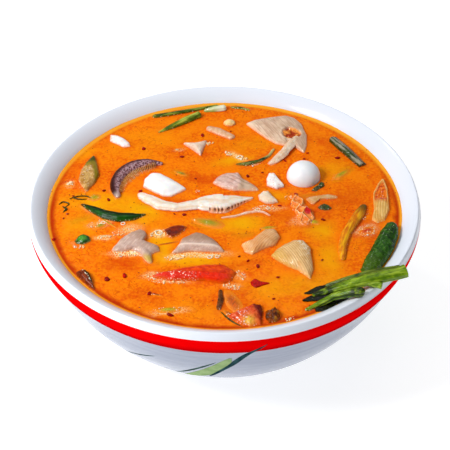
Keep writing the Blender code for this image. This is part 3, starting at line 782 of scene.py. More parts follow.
fields = {
    "yellow": drift(warped, YELLOW_DRIFTS), "red": drift(warped, RED_DRIFTS),
    "green": drift(warped, GREEN_DRIFTS), "foam": drift(warped, FOAM_DRIFTS),
    "oil_ring_and_shade": step(to_wall + 1.4 * cloud(warp, 7, 8), 5.8, 2.2) * step(to_wall, 0.7, 1.5)
                * (.25 + .75 * step(spots[:, 1], 55, -5)),
    "film": step(to_wall, 1.9 + 1.6 * far_half, 0.6 + 0.6 * far_half),
    "contact_shade": np.exp(-to_food / 1.9)}
broth_skin = (points, np.concatenate((quads, walls)), keel,
              {name: np.concatenate((values, padding)) for name, values in fields.items()})
print("soup grid spacing about", round(2 * SOUP_RADIUS / SOUP_SIDE, 2), "mm")

# %% [markdown]
# The broth's colour is built from the drifts stored on the mesh, broken up by noise at two
# sizes: clouds of coconut cream a centimetre wide, and oil flecks of a millimetre. Its gloss
# is low in weight, because a strong one would lay the white room over the orange.

# %% Broth finish
broth = Finish("broth", roughness=0.22, specular=0.07)
clouds = broth.noise(11, detail=5, seed=.02, distortion=0.6)
flecks = broth.noise(1.6, detail=4, seed=.05)
broth.tone = broth.blend(broth.ramp(clouds, 0.34, 0.66), (236, 88, 0), (252, 126, 2))
broth.over(broth.ramp(flecks, 0.3, 0.75), (255, 142, 4))
veins = broth.noise(7, detail=4, seed=.4, distortion=1.2)
thin = broth.ramp(broth.sum("ABSOLUTE", broth.sum("SUBTRACT", veins, 0.5)), 0.035, 0.0)
thin = broth.times(thin, broth.ramp(broth.noise(19, seed=.8), 0.42, 0.62, 0.0, 0.6))
broth.over(thin, (206, 58, 0))
yellow = broth.times(broth.field("yellow"), broth.ramp(clouds, 0.2, 0.6, 0.55, 1.0))
broth.over(yellow, (248, 172, 2))
broth.over(broth.times(broth.field("red"), broth.ramp(flecks, .2, .8, 1, .6)), (212, 54, 0))
broth.stain("green", 0.75, (186, 150, 14))
# A dark red ring along the wall: partly chilli oil, partly painted shadow of the lip, strongest on the
# near side.
broth.stain("oil_ring_and_shade", 0.9, (178, 32, 0))
# Painted shade: the broth darkens within a few millimetres of each piece.
broth.stain("contact_shade", 0.45, (218, 78, 0))
broth.stain("film", 0.85, (252, 172, 40))
specks = broth.sum("MAXIMUM", broth.ramp(broth.cells(5.2, seed=.3), 0.085, 0.05),
                   broth.ramp(broth.cells(2.9, seed=.6), 0.10, 0.05))
broth.over(broth.times(specks, 0.75), (178, 26, 0))
lace = broth.ramp(broth.cells(1.5, seed=.7, feature="DISTANCE_TO_EDGE"), 0.16, 0.05)
lace = broth.times(broth.field("foam"), broth.sum("ADD", lace, 0.2))
broth.over(lace, (255, 226, 158))
# Oil droplets with a painted glint: pale yellow spots over the lighter clouds.
droplet_glints = broth.ramp(broth.cells(2.6, seed=.1), 0.16, 0.12)
droplet_glints = broth.times(droplet_glints, broth.ramp(clouds, 0.5, 0.62))
broth.over(broth.times(droplet_glints, 0.3), (255, 176, 60))
broth.colour(broth.tone)
ripple = broth.bump(broth.noise(6, detail=3, seed=.2), 0.3)
broth.bump(flecks, 0.05, ripple)
make_piece("soup", broth_skin, broth.material, "broth_orange", "broth")

# %% [markdown]
# ## Slices and stalks
# A slice floats with a rounded crown above the soup and a keel below. Its surface runs along
# rays from its middle: each ray is a superellipse in section, flat on top and round at the
# edge. A stalk is a tube whose sections follow the solid's. Both take a relief function for
# what is special about each food, such as the pleats of an onion or the warts of a gourd.

# %% A floating slice
KEEL_DEPTH = 3.0          # mm from the edge of a slice down to its underside


def slice_surface(node, dome, square=3.0, ragged=0.03, seed=1, relief=None, rows=34, cols=168,
                  middle=None, keep=None, lump=0.12, lump_size=5.0):
    """At share s of the way out, the crown stands dome (1 - s^square)^(1/2) above the plane of
    the outline. `ragged` shifts the edge by noise, and `relief(x, y, s)` gives a lift in mm
    and a dictionary of fields, with x and y counted from the middle."""
    middle, radius, height = outline_of(node, cols, middle, keep)
    turn = full_turn(cols)
    circle = plan(np.cos(turn), np.sin(turn))
    radius = soften(radius, 2) * (1 + ragged * cloud(circle * 3, 0.5, seed, 3))
    height = soften(height, 6)
    share = np.concatenate((np.sin(np.linspace(0.03, 1, rows) * np.pi / 2), [1.0, 0.97, 0.9]))
    drop = np.concatenate((np.zeros(rows), [0.5, 1.4, KEEL_DEPTH]))
    s, drop = share[:, None], drop[:, None]
    x, y = s * radius * np.cos(turn), s * radius * np.sin(turn)
    above = dome * np.sqrt(np.clip(1 - np.clip(s, 0, 1) ** square, 0, 1))
    z = height.mean() + s * (height - height.mean()) + np.where(drop > 0, 0, above) - drop
    lift, fields = relief(x, y, s + 0 * x) if relief else (0, {})
    spot = np.stack((x + middle[0], y + middle[1], z), -1)
    lift = lift + lump * cloud(spot, lump_size, seed + 1, 3)
    spot[..., 2] += np.where(drop > 0, 0, lift * (1 - np.clip(s, 0, 1) ** 8))
    return stack(spot, dict(fields, edge=s))


def slice_piece(name, node, finish, slot, **shape):
    """A slice that stands for the solid whose outline it has."""
    make_piece(name, slice_surface(node, **shape), finish, slot, node)


# %% A stalk
def ease(values, width):
    """Running mean of an open row of values, mirrored past its ends."""
    kernel = np.hanning(2 * width + 3)[1:-1]
    padded = np.concatenate((2 * values[:1] - values[width:0:-1], values,
                             2 * values[-1:] - values[-2:-width - 2:-1]))
    return np.convolve(padded, kernel / kernel.sum(), "valid")


def tube(middles, half, thick, cols=32, relief=None, lump=0.06, lump_size=3.0, seed=1):
    """Loops of half width `half` across and half thickness `thick` upright, carried along the
    middles. relief(along in mm, angle round, x) gives a share to add to the radius and a
    dictionary of fields; the angle is 0 on the right of the way along and 90 degrees on top."""
    travel = np.gradient(middles, axis=0)
    travel /= np.linalg.norm(travel, axis=1, keepdims=True)
    across = np.cross(travel, (0, 0, 1.0))
    across /= np.linalg.norm(across, axis=1, keepdims=True)
    upright = np.cross(across, travel)
    along = np.concatenate(([0], np.cumsum(np.linalg.norm(np.diff(middles, axis=0), axis=1))))
    along, angle = np.meshgrid(along, full_turn(cols), indexing="ij")
    swell, fields = relief(along, angle, along / along.max()) if relief else (0, {})
    swell = 1 + swell + 0 * angle
    side = (half[:, None] * np.cos(angle) * swell)[..., None] * across[:, None]
    rise = (thick[:, None] * np.sin(angle) * swell)[..., None] * upright[:, None]
    spot = middles[:, None] + side + rise
    out = (side + rise) / np.maximum(np.linalg.norm(side + rise, axis=-1, keepdims=True), 1e-6)
    spot = spot + out * (lump * cloud(spot, lump_size, seed, 3))[..., None]
    return stack(spot, dict(fields, along=along / along.max()))


def stalk_surface(node, rows=70, around=None, ends=0.004, fatter=1.0, **options):
    """A tube over the sections of a solid stalk, with its middles and widths eased."""
    middles, half, thick = sections_of(node, rows, around, ends)
    middles = np.stack([ease(middles[:, k], 4) for k in range(3)], -1)
    half, thick = (np.maximum(ease(w, 2), 0.05) * fatter for w in (half, thick))
    return tube(middles, half, thick, **options)


def stalk_piece(name, node, finish, slot, **shape):
    """A stalk that stands for the solid whose sections it has."""
    make_piece(name, stalk_surface(node, **shape), finish, slot, node)


def path_tube(path, per_side, **options):
    """A tube through (x, y, height above the soup, half width, half thickness) stations."""
    stations = curve_through(path, per_side)
    return tube(stations[:, :3] + (0, 0, LEVEL), stations[:, 3], stations[:, 4], **options)


# %% [markdown]
# ## A wet finish for food
# All the food here is wet, a little translucent and mottled. One recipe covers that: two tones
# mixed by lumpy noise, fibres drawn out along the piece, and a clear coat for the soup that
# wets it. Light that bleeds through thin flesh comes from the shader's subsurface part.

# %% Wet food
COAT_SHARE = 0.6          # weight of the clear coat where a recipe asks for 1
MOTTLE_SEED = 0.1
SOAK_COLOUR = (238, 118, 14)
BEAD_GLINT_COLOUR = (255, 240, 214)


def wet(name, dark, light, grain, fibre=None, turn=0.0, gloss=0.3, coat=0.5, bleed=0.12,
        bleed_colour=(1.0, 0.5, 0.25), fibre_tone=0.5):
    """Finish with two tones mottled at `grain` mm, and fibres `fibre` mm wide along `turn`."""
    made = Finish(name, roughness=gloss, specular=0.12, coat=coat * COAT_SHARE, subsurface=bleed,
                  bleed=bleed_colour)
    made.pattern = made.noise(grain, detail=5, seed=MOTTLE_SEED)
    made.tone = made.blend(made.ramp(made.pattern, 0.33, 0.67), dark, light)
    if fibre:
        lines = made.noise(fibre, detail=3, stretch=(0.12, 1, 1), turn=turn, seed=MOTTLE_SEED)
        made.over(made.ramp(lines, 0.62, 0.36, 0, fibre_tone), dark)
        made.over(made.ramp(lines, 0.55, 0.72, 0, fibre_tone), light)
        made.pattern = made.sum("ADD", made.times(made.pattern, 0.4), made.times(lines, 0.6))
    return made


def piece_of(made, depth, fine=None, soak=0.7, soak_reach=1.8):
    """Tints the foot of a piece with broth, strongest at the waterline and gone about
    `soak_reach` mm above it, with a row of tiny bright beads, painted glints, where the two
    meet. Joins tone and bump to the shader, and returns the material."""
    if soak:
        ragged = made.times(made.noise(1.8, detail=3, seed=.9), 1.6)
        above = made.sum("SUBTRACT", made.height(), made.sum("ADD", ragged, LEVEL - 0.8))
        made.over(made.ramp(above, 0, soak_reach, soak, 0), SOAK_COLOUR)
        band = made.times(made.ramp(above, 0.2, 0.5), made.ramp(above, 1.5, 0.9))
        # Painted glints: a row of tiny bright beads along the waterline.
        beads = made.times(band, made.ramp(made.cells(1.3, seed=.45), 0.3, 0.16))
        made.over(made.times(beads, 0.7), BEAD_GLINT_COLOUR)
    made.colour(made.tone)
    normal = made.bump(made.pattern, depth)
    if fine:
        made.bump(made.noise(fine, detail=2, seed=.4), depth * 0.5, normal)
    return made.material


# %% [markdown]
# ## Pale slices
# The cuttlefish and the fish cake are dense and white, with soft edges. The chicken has been
# cut across the grain, so its face shows slanting fibres and a moist shine. The mushroom
# slices are flatter, with a darker skin side and a pale ridge where the cap meets the gills.

# %% Cuttlefish and fish cake
def pillow(x, y, s):
    """A fold along the lower right edge, where the slice turns down into the soup."""
    return -0.9 * step(0.55 * x - 0.83 * y, 5.0, 9.5), {}


white_meat = wet("white_meat", (250, 246, 244), (255, 254, 253), 4, gloss=.35, coat=.25, bleed=.2)
white_meat.shade("edge", .9, 1.0, .6, (246, 214, 176))
white_material = piece_of(white_meat, 0.12)
slice_piece("cuttlefish", "cuttlefish_piece", white_material, "cooked_white", dome=4.2, square=2.6,
            ragged=.015, relief=pillow, lump=.15, lump_size=7)

fish_cake = wet("fish_cake", (250, 238, 232), (255, 252, 248), 2, coat=.3)
pits = fish_cake.ramp(fish_cake.cells(1.7, seed=.2), 0.3, 0.12)
fish_cake.over(fish_cake.times(pits, .75), (226, 142, 118))
slice_piece("fish_cake", "fish_cake_chip", piece_of(fish_cake, 0.2), "cooked_white", dome=3.4,
            square=4, ragged=.03, seed=5, lump=.25, lump_size=3)


# %% Chicken
def torn_meat(x, y, s):
    """Slanting ridges across the slice, and a step down where it is torn on the right."""
    slant = 0.5 * x + 0.87 * y
    return 0.35 * np.abs(np.sin(slant * 0.9 + 0.6 * np.sin(x * .4))) - 1.1 * step(x, 2.5, 6), {
        "torn": step(x - .3 * y, 2.0, 5.0)}


chicken = wet("chicken", (208, 160, 144), (236, 204, 190), 2.6, fibre=.7, turn=-35, gloss=.26,
              coat=.8, bleed=.15)
chicken.stain("torn", .7, (205, 176, 142))
chicken.shade("edge", .86, 1.0, .7, (244, 214, 180))
slice_piece("chicken", "chicken_slice", piece_of(chicken, 0.35, fine=.8), "chicken_grey_pink",
            dome=3.0, square=3.2, relief=torn_meat, seed=7, lump=.3, lump_size=3)


# %% Straw mushroom slices
def ridged(x, y, s):
    """A low ridge across the slice, two thirds of the way down, and a hollow below it."""
    ridge = y + 2.8 + 0.08 * x
    return 0.55 * np.exp(-(ridge / 1.0) ** 2) - 0.5 * step(-ridge, 0.5, 3), {
        "pale": np.exp(-(ridge / 0.9) ** 2), "skin": step(ridge, 0.5, 6)}


def plain_skin(x, y, s):
    """The darker skin lies on the upper right; the left side is smooth and pale, and the tail
    at the near end is stained by herbs."""
    return 0.3 * np.exp(-((x + y * .4) / 2.5) ** 2), {
        "skin": .6 * step(x + y, -2, 8), "pale": 0 * x, "stain": step(y, -7.5, -12)}


grey_mushroom = wet("grey_mushroom", (196, 160, 144), (224, 196, 180), 3.2, fibre=.9, turn=60,
                    gloss=.3, coat=.55, bleed=.15, fibre_tone=.8)
grey_mushroom.stain("skin", .75, (166, 126, 96))
grey_mushroom.over(grey_mushroom.field("pale"), (240, 216, 196))
grey_mushroom.stain("stain", .85, (206, 170, 40))
grey_mushroom.shade("edge", .9, 1.0, .6, (242, 206, 166))
grey_material = piece_of(grey_mushroom, 0.25, fine=.7)
slice_piece("mushroom_fan", "mushroom_middle", grey_material, "mushroom_grey", dome=3.4,
            square=3.2, ragged=.02, relief=ridged, seed=11, lump=.2)
slice_piece("mushroom_forked", "mushroom_left", grey_material, "mushroom_grey", dome=3.0,
            square=3.4, ragged=.05, relief=plain_skin, seed=12, lump=.25)
slice_piece("mushroom_corner", "mushroom_triangle",
            piece_of(wet("pale_mushroom", (228, 190, 164), (250, 228, 208), 3, fibre=.8, turn=-50,
                         coat=.5), 0.3), "mushroom_grey", dome=2.4, square=4, ragged=.05,
            relief=plain_skin, seed=13)
stalk_piece("mushroom_stem_slice", "mushroom_finger",
            piece_of(wet("mushroom_stem", (224, 164, 120), (240, 200, 164), 2, fibre=.6, turn=-33,
                         coat=.5), 0.3), "mushroom_grey", seed=14, lump=.25)

# %% [markdown]
# ## Oyster mushroom and its strands
# An oyster mushroom is a smooth beige cap whose gills run down into a torn, stringy stem. The
# cap is a wide slice with fine lines towards the stem and a hole where the gills show
# orange with broth. The strands are stalks with grooves along them, because the flesh tears
# lengthways.

# %% Oyster cap
HOLE_MIDDLE = (8.4, -4.6)  # from the middle of the cap
HOLE_REACH = (6.4, 6.0)


def cap_relief(x, y, s):
    """A smooth crown with a bumpy hollow, and a shallow fold from the hollow to the stem."""
    away = np.hypot((x - HOLE_MIDDLE[0]) / HOLE_REACH[0], (y - HOLE_MIDDLE[1]) / HOLE_REACH[1])
    away = away + 0.16 * cloud(plan(x, y), 3.0, 21, 2)
    inside = step(away, 1.05, 0.75)
    bumps = cloud(plan(x, y), 1.9, 22, 2)
    rim = np.exp(-((away - 1.05) / 0.14) ** 2)
    fold = np.exp(-((x - 0.45 * y - 9) / 3.0) ** 2) * step(y, -4, -12)
    crease = np.exp(-((y + 0.95 * x - 3.0) / 1.3) ** 2) * step(x, 2, -4)
    lift = inside * (-1.3 + 1.3 * bumps) + 0.25 * rim + 0.5 * fold + 0.25 * crease
    return lift, {"hole": inside, "bumps": bumps * .5 + .5, "tip": step(x, -12, -19)}


oyster = wet("oyster_skin", (214, 178, 148), (234, 206, 178), 6, fibre=.9, turn=-62, gloss=.38,
             coat=.3, bleed=.15, fibre_tone=.35)
oyster.over(oyster.ramp(oyster.noise(.8, stretch=(.05, 1, 1), turn=-62), .45, .62, 0, .6),
            (190, 144, 116))
oyster.stain("tip", .8, (246, 222, 196))
gill_tone = oyster.blend(oyster.ramp(oyster.field("bumps"), .3, .7), (166, 44, 0), (252, 160, 64))
oyster.over(oyster.field("hole"), gill_tone)
oyster.shade("edge", .9, 1.0, .8, (250, 222, 190))
cap = slice_surface("oyster_cap", dome=3.6, square=3.4, ragged=.015, relief=cap_relief, seed=20,
                    rows=60, cols=280, lump=.3, lump_size=9, middle=(34.5, 74.0),
                    keep=lambda ends: (ends[..., 1] > 58.5) | (ends[..., 0] > 44))
make_piece("oyster_cap_dressed", cap, piece_of(oyster, .2, fine=.7), "mushroom_cream",
           "oyster_cap")


# %% Torn strands
def torn(grooves, depth, seed):
    """Grooves along the stalk: a cosine round it whose phase wanders with the way along."""
    def relief(along, angle, share):
        spot = plan(along, 0 * along)
        wander = 2.5 * cloud(spot, 9, seed, 2)
        lumps = 0.16 * cloud(spot, 4.5, seed + 1, 2)
        return depth * np.cos(grooves * angle + wander) + lumps, {
            "groove": 0.5 + 0.5 * np.cos(grooves * angle + wander)}
    return relief


def gill_row(along, angle, share):
    """Torn flesh, whose lower right edge carries a row of pits where the gills were."""
    lift, fields = torn(5, 0.06, 31)(along, angle, share)
    zone = step(share, .60, .66) * step(share, .98, .93) * np.exp(-((angle - .35) / .45) ** 2)
    pits = zone * (0.5 + 0.5 * np.cos(along * 2 * np.pi / 2.3))
    return lift - 0.12 * pits, dict(fields, pits=step(pits, .35, .8), gills=zone)


strand = wet("strand", (246, 226, 202), (255, 251, 244), 3.4, fibre=.8, turn=3, gloss=.34,
             coat=.45, bleed=.2)
strand.shade("groove", .35, 0, .45, (236, 196, 150))
strand.stain("gills", .75, (214, 120, 44))
strand.over(strand.field("pits"), (88, 30, 6))
strand_material = piece_of(strand, 0.4, fine=.9)
stalk_piece("oyster_strand_dressed", "oyster_strand", strand_material, "mushroom_cream", rows=240,
            cols=56, relief=gill_row, lump=.35, lump_size=3.5, seed=30)
stalk_piece("oyster_thread", "mushroom_thread", strand_material, "mushroom_cream", rows=120,
            cols=20, relief=torn(3, .12, 33), lump=.18, seed=34)

OYSTER_STEM = [(46.5, 66, 1.6, 2.6, 1.5), (42, 58.5, 2.0, 3.0, 1.8), (37.4, 50.5, 1.6, 2.7, 1.7),
               (32.4, 44.4, .8, 2.4, 1.4), (28.0, 40.0, 0.0, 1.5, .9)]
make_piece("oyster_stem", path_tube(OYSTER_STEM, 24, cols=40, relief=torn(4, .1, 36), lump=.2,
                                    seed=37),
           piece_of(wet("oyster_stem", (228, 190, 154), (254, 238, 216), 3, fibre=.7, turn=62,
                        coat=.4, fibre_tone=.8), .3), "mushroom_cream")
slice_piece("cream_curl_dressed", "cream_curl", strand_material, "mushroom_cream", dome=2.8,
            square=2.6, ragged=.08, relief=plain_skin, seed=38, lump=.5, lump_size=2.6)


# %% [markdown]
# ## The mushroom crescent
# This is the edge of a dark cap cut off in a curve: a leathery purple-brown roll outside, and
# inside it a fringe of gills that slopes down into the broth. The roll follows the solid's
# sections, taken along rays from the middle of the old cap. The fringe is a fan of folds on
# the same rays, so the gills point at the middle as they do on the mushroom.

# %% Crescent and gill fringe
CAP_MIDDLE = (-44.0, 17.8)
crescent_middles = sections_of("mushroom_crescent", 40, CAP_MIDDLE)[0]
crescent_reach = np.hypot(*(crescent_middles[:, :2] - CAP_MIDDLE).T).mean()
print("the cap was about", round(2 * crescent_reach + 6), "mm across")


def leathery(along, angle, share):
    """Fine wrinkles across the roll, strongest on top."""
    spot = np.stack((along, np.cos(angle) * 1.5, np.sin(angle) * 1.5), -1)
    wrinkle = cloud(spot, 1.5, 41, 2)
    return 0.06 * wrinkle, {"wrinkle": wrinkle * .5 + .5, "outer": np.cos(angle),
                            "tip": step(share, .9, 1.0)}


skin = wet("purple_skin", (72, 26, 30), (136, 84, 88), 1.5, gloss=.36, coat=.4, bleed=.04)
skin.shade("wrinkle", .3, .0, .7, (58, 20, 24))
# Painted highlight: a pale lilac speckle over one side of the roll.
lilac_highlight = skin.times(skin.ramp(skin.field("outer"), -.55, .25, 1, 0),
                   skin.ramp(skin.noise(1.1, detail=4, seed=.3), .42, .58))
skin.over(skin.times(lilac_highlight, .8), (214, 176, 184))
skin.shade("outer", -.2, .45, .95, (46, 12, 10))
skin.stain("tip", .8, (214, 188, 176))
stalk_piece("crescent_roll", "mushroom_crescent", piece_of(skin, .3, fine=.6, soak=.3),
            "mushroom_skin", rows=150, around=CAP_MIDDLE, ends=.01, cols=44, relief=leathery,
            lump=.12, lump_size=2, seed=40)

GILL_TURNS = (196, 88)    # degrees, first and last gill
GILL_COUNT = 30
fan = np.linspace(0, 1, 300)[:, None]
out = np.linspace(0, 1, 12)[None, :]
fan_turn = np.radians(GILL_TURNS[0] + (GILL_TURNS[1] - GILL_TURNS[0]) * fan)
gill = np.cos(2 * np.pi * GILL_COUNT * fan)
ragged_end = cloud(plan(fan * 40, 0 * fan), 2.0, 43, 2)
fade_ends = np.sin(np.pi * np.clip(fan, .01, .99)) ** .5
inner_reach = crescent_reach - (3.2 + 5.0 * fade_ends + 0.8 * gill + 1.4 * ragged_end * fade_ends)
reach = crescent_reach - 1.2 + (inner_reach - crescent_reach + 1.2) * out
fringe_top = 3.0 - 3.1 * out ** 0.8 + 0.5 * gill * np.sin(np.pi * out) ** .6 + 0 * fan
upper = np.stack(np.broadcast_arrays(CAP_MIDDLE[0] + reach * np.cos(fan_turn),
                                     CAP_MIDDLE[1] + reach * np.sin(fan_turn),
                                     LEVEL + fringe_top), -1)
lower = upper[:, ::-1] - (0, 0, 1.2)
ribs = np.broadcast_to(0.5 + 0.5 * gill, reach.shape)
fringe = stack(np.concatenate((upper, lower), 1), {
    "rib": np.concatenate((ribs, ribs), 1),
    "down": np.concatenate((out + 0 * fan, (1 - out) + 0 * fan), 1)})
gills = Finish("gills", roughness=.35, specular=.3, coat=.3)
gills.tone = gills.blend(gills.ramp(gills.field("rib"), .3, .8), (92, 30, 2), (226, 168, 90))
gills.over(gills.ramp(gills.noise(1.4, detail=4), .4, .65, 0, .7), (184, 88, 14))
gills.shade("down", .25, 0, .8, (84, 26, 14))
gills.pattern = gills.noise(.9)
make_piece("crescent_gills", fringe, piece_of(gills, .25, soak=.25), "mushroom_skin")

# %% [markdown]
# ## Egg and garlic
# The small egg is the smoothest thing in the bowl: an ellipsoid with a hint of a dent and the
# soft shine of cooked white. A dome needs no more than a profile turned round, with a little
# noise so it doesn't look machined.

# %% Egg and garlic
def round_piece(node, rows=60, cols=120, lump=.1, lump_size=6.0, seed=1, point=0.0):
    """An ellipsoid that fills a solid's box, z = cos and r = sin of the angle from the top,
    leaning to a point by `point`."""
    low, high = (np.array(c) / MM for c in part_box(node))
    middle, reach = (low + high) / 2, (high - low) / 2
    down = np.linspace(0.03, np.pi - 0.03, rows)[:, None]
    turn = full_turn(cols)[None]
    pull = 1 + point * np.cos(turn - 2.4)
    ball = np.stack(np.broadcast_arrays(np.sin(down) * np.cos(turn) * pull,
                                        np.sin(down) * np.sin(turn) * pull, np.cos(down)), -1)
    spot = middle + ball * reach * (1 + (lump * cloud(ball * 10, lump_size, seed, 2) / reach[0]))[
        ..., None]
    return stack(spot, {"down": down / np.pi + 0 * turn})


egg_white = Finish("egg_white", roughness=.3, specular=.3, coat=.2, subsurface=.3,
                   bleed=(1, .8, .6))
egg_white.tone = egg_white.blend(egg_white.ramp(egg_white.noise(8, detail=2), .35, .65),
                                 (240, 243, 248), (252, 253, 255))
# The lower half is tinted warm: partly broth at the base, partly painted shade.
egg_white.shade("down", .5, .62, .5, (252, 222, 180))
egg_white.pattern = egg_white.noise(2.5)
make_piece("egg", round_piece("quail_egg", lump=.25, lump_size=9, point=.015),
           piece_of(egg_white, .05, soak=.4, soak_reach=.7), "cooked_white", "quail_egg")
garlic = wet("garlic", (252, 206, 128), (255, 226, 168), 2, coat=.3, bleed=.15)
make_piece("garlic", round_piece("garlic_bit", 24, 48, lump=.5, lump_size=4, seed=4),
           piece_of(garlic, .2), "cooked_white", "garlic_bit")
slice_piece("onion_end", "onion_sliver", white_material, "cooked_white", dome=1.6, square=2.6,
            lump=.2, seed=51)


# %% [markdown]
# ## Onion petals
# A boiled shallot petal is a thin curved scale with fine veins along it, glassy at the edge and
# tanned by the broth. The veins are relief and colour together, both read from one wave that
# runs across the petal, so they can't drift apart.

# %% Onion petals
def veined(turn, spacing, depth):
    """Veins along direction `turn`: relief depth * cos(2 pi across / spacing), with the
    spacing wandering."""
    def relief(x, y, s):
        along, across = rotated(x, y, -math.radians(turn))
        wander = cloud(plan(along, across), 12, 61, 2)
        wave = np.cos(2 * np.pi * across / spacing + 2.0 * wander + 0.02 * along ** 2)
        return depth * wave, {"vein": wave * .5 + .5, "across": across / 12}
    return relief


def onion_finish(name, dark, light, vein, turn, edge_tone):
    """Wet onion flesh with fine fibres along `turn`, coloured veins and a lighter edge."""
    made = wet(name, dark, light, 5, fibre=.8, turn=turn, gloss=.26, bleed=.18)
    made.shade("vein", .55, .0, .55, vein)
    made.shade("edge", .86, 1.0, .75, edge_tone)
    return made


petal = onion_finish("petal_left", (230, 162, 98), (250, 206, 148), (210, 136, 78), 55,
                     (252, 206, 136))
petal.over(petal.ramp(petal.noise(4, seed=.7), .5, .7, 0, .5), (236, 176, 130))
slice_piece("petal_left", "onion_petal_left", piece_of(petal, .2, fine=.8), "boiled_onion",
            dome=4.0, square=2.4, seed=62, relief=veined(55, 1.25, .10), lump=.2, rows=60,
            cols=240)

petal = onion_finish("petal_right", (222, 172, 108), (250, 214, 158), (202, 150, 82), 118,
                     (248, 210, 120))
petal.shade("across", -.2, -.9, .75, (214, 162, 44))
# Painted highlight: near-white flecks over one side of the petal.
shine = petal.times(petal.ramp(petal.field("across"), .25, .75),
                    petal.ramp(petal.noise(1.1, detail=3, seed=.2), .5, .6))
petal.over(petal.times(shine, .8), (255, 246, 228))
slice_piece("petal_right", "onion_petal_right", piece_of(petal, .3, fine=.8), "boiled_onion",
            dome=4.8, square=2.4, seed=63, relief=veined(-62, 1.35, .11), lump=.22, rows=60,
            cols=260)


def pointed(x, y, s):
    """A rim round a hollow above and a striped swelling below."""
    lift, fields = veined(80, 1.5, .1)(x, y, s)
    lift = lift - 1.5 * step(y, -1, 5) * (1 - s ** 3) + .5 * np.exp(-((s - .9) / .07) ** 2)
    return lift, dict(fields, hollow=step(y, -3, 3) * step(s, .92, .7))


petal = onion_finish("petal_pointed", (222, 158, 62), (246, 206, 130), (208, 138, 40), 80,
                     (252, 210, 110))
inside_tone = petal.blend(petal.ramp(petal.noise(1.8, detail=4, seed=.3), .42, .62),
                          (244, 122, 14), (206, 62, 2))
petal.over(petal.field("hollow"), inside_tone)
slice_piece("petal_pointed", "onion_petal_pointed", piece_of(petal, .25, fine=.8), "boiled_onion",
            dome=2.6, square=3.0, seed=64, relief=pointed, rows=60, cols=260)
petal = onion_finish("petal_strip", (206, 158, 92), (230, 200, 150), (190, 140, 60), 15,
                     (236, 196, 130))
slice_piece("petal_strip", "onion_strip", piece_of(petal, .2), "boiled_onion", dome=1.4,
            square=2.6, seed=65, relief=veined(15, 1.2, .08))

# %% [markdown]
# ## Tomato and other red pieces
# A stewed tomato wedge lies skin side up and has split along one side. Wet flesh is bumpy and
# full of tiny bubbles, and the skin beside it is smooth and darker. The loose skin has
# crumpled into folds, which are made by adding sharp-crested waves in two directions.

# %% Tomato wedge and front chunk
def wedge(x, y, s):
    """Smooth skin on the far side and bumpy flesh on the near side, with a groove between."""
    spot = plan(x, y)
    near = step(y + 0.06 * x + cloud(spot, 6, 71), 0.6, -1.2)
    groove = np.exp(-((y + .06 * x - .4) / .7) ** 2)
    return near * (.45 * cloud(spot, 1.3, 72, 2)) - .5 * groove + .3 * step(x, 6, 14), {
        "flesh": near, "froth": near * step(x + 3 * cloud(spot, 5, 73), 2, -7)}


tomato = wet("tomato", (212, 46, 0), (250, 84, 0), 3, fibre=1.2, turn=5, gloss=.24, coat=.2,
             bleed=.12, bleed_colour=(1, .2, .1))
tomato.stain("flesh", .8, (238, 32, 0))
tomato.stain("froth", .45, (222, 50, 36))
# Painted sparkle: pale dots on the frothy flesh, tiny bubbles painted as glints.
painted_sparkle = tomato.times(tomato.ramp(tomato.cells(1.2, seed=.3), .42, .26),
                       tomato.ramp(tomato.noise(3, seed=.1), .38, .56))
painted_sparkle = tomato.times(painted_sparkle, tomato.field("froth"))
tomato.over(painted_sparkle, (255, 226, 206))
veins_red = tomato.ramp(tomato.noise(2.2, detail=4, seed=.8), .56, .7)
tomato.over(tomato.times(veins_red, .6), (186, 20, 2))
tomato.shade("edge", .8, 1.0, .7, (226, 92, 4))
tomato_material = piece_of(tomato, .35, fine=.7)
slice_piece("tomato_wedge_dressed", "tomato_wedge", tomato_material, "tomato_red", dome=3.8,
            square=2.6, seed=70, relief=wedge, rows=60, cols=320, lump=.2)


def broken(x, y, s):
    """Torn flesh: deep lumps all over."""
    spot = plan(x, y)
    return .9 * cloud(spot, 2.6, 74, 3), {
        "froth": step(x + 2 * cloud(spot, 4, 75), .5, -4), "skin": step(x + .4 * y, 3, 6),
        "pulp": np.exp(-(x / 3.2) ** 2 - ((y + 6) / 3.2) ** 2)}


chunk = wet("tomato_chunk", (206, 52, 10), (236, 98, 40), 2.4, gloss=.24, coat=.4, bleed=.1,
            bleed_colour=(1, .2, .1))
chunk.over(chunk.field("skin"), (112, 12, 2))
chunk.over(chunk.field("pulp"), (238, 180, 60))
# Painted sparkle: pale pink dots on the frothy side, tiny bubbles painted as glints.
beads = chunk.times(chunk.ramp(chunk.cells(1.3, seed=.5), .4, .24), chunk.field("froth"))
chunk.over(beads, (255, 220, 210))
slice_piece("tomato_chunk", "tomato_chunk_front", piece_of(chunk, .35, fine=.7), "tomato_red",
            dome=3.4, square=3, seed=73, ragged=.08, relief=broken, rows=50, cols=200)


def crumpled(x, y, s):
    """Folds 1 - |sin| of two slanting waves, so that each crest is sharp, over a high core."""
    spot = plan(x, y)
    bend = 1.6 * cloud(spot, 6, 77, 2)
    one = 1 - np.abs(np.sin((x * .5 + y * .55) * .75 + bend))
    two = 1 - np.abs(np.sin((x * .75 - y * .3) * .8 - bend + 1))
    core = np.exp(-((x - 3.6) / 3.0) ** 2 - ((y + 3.6) / 3.2) ** 2)
    return 1.3 * one ** 2 + 1.0 * two ** 2 + 1.2 * core - .8, {
        "crest": np.maximum(one, two) ** 3, "core": core}


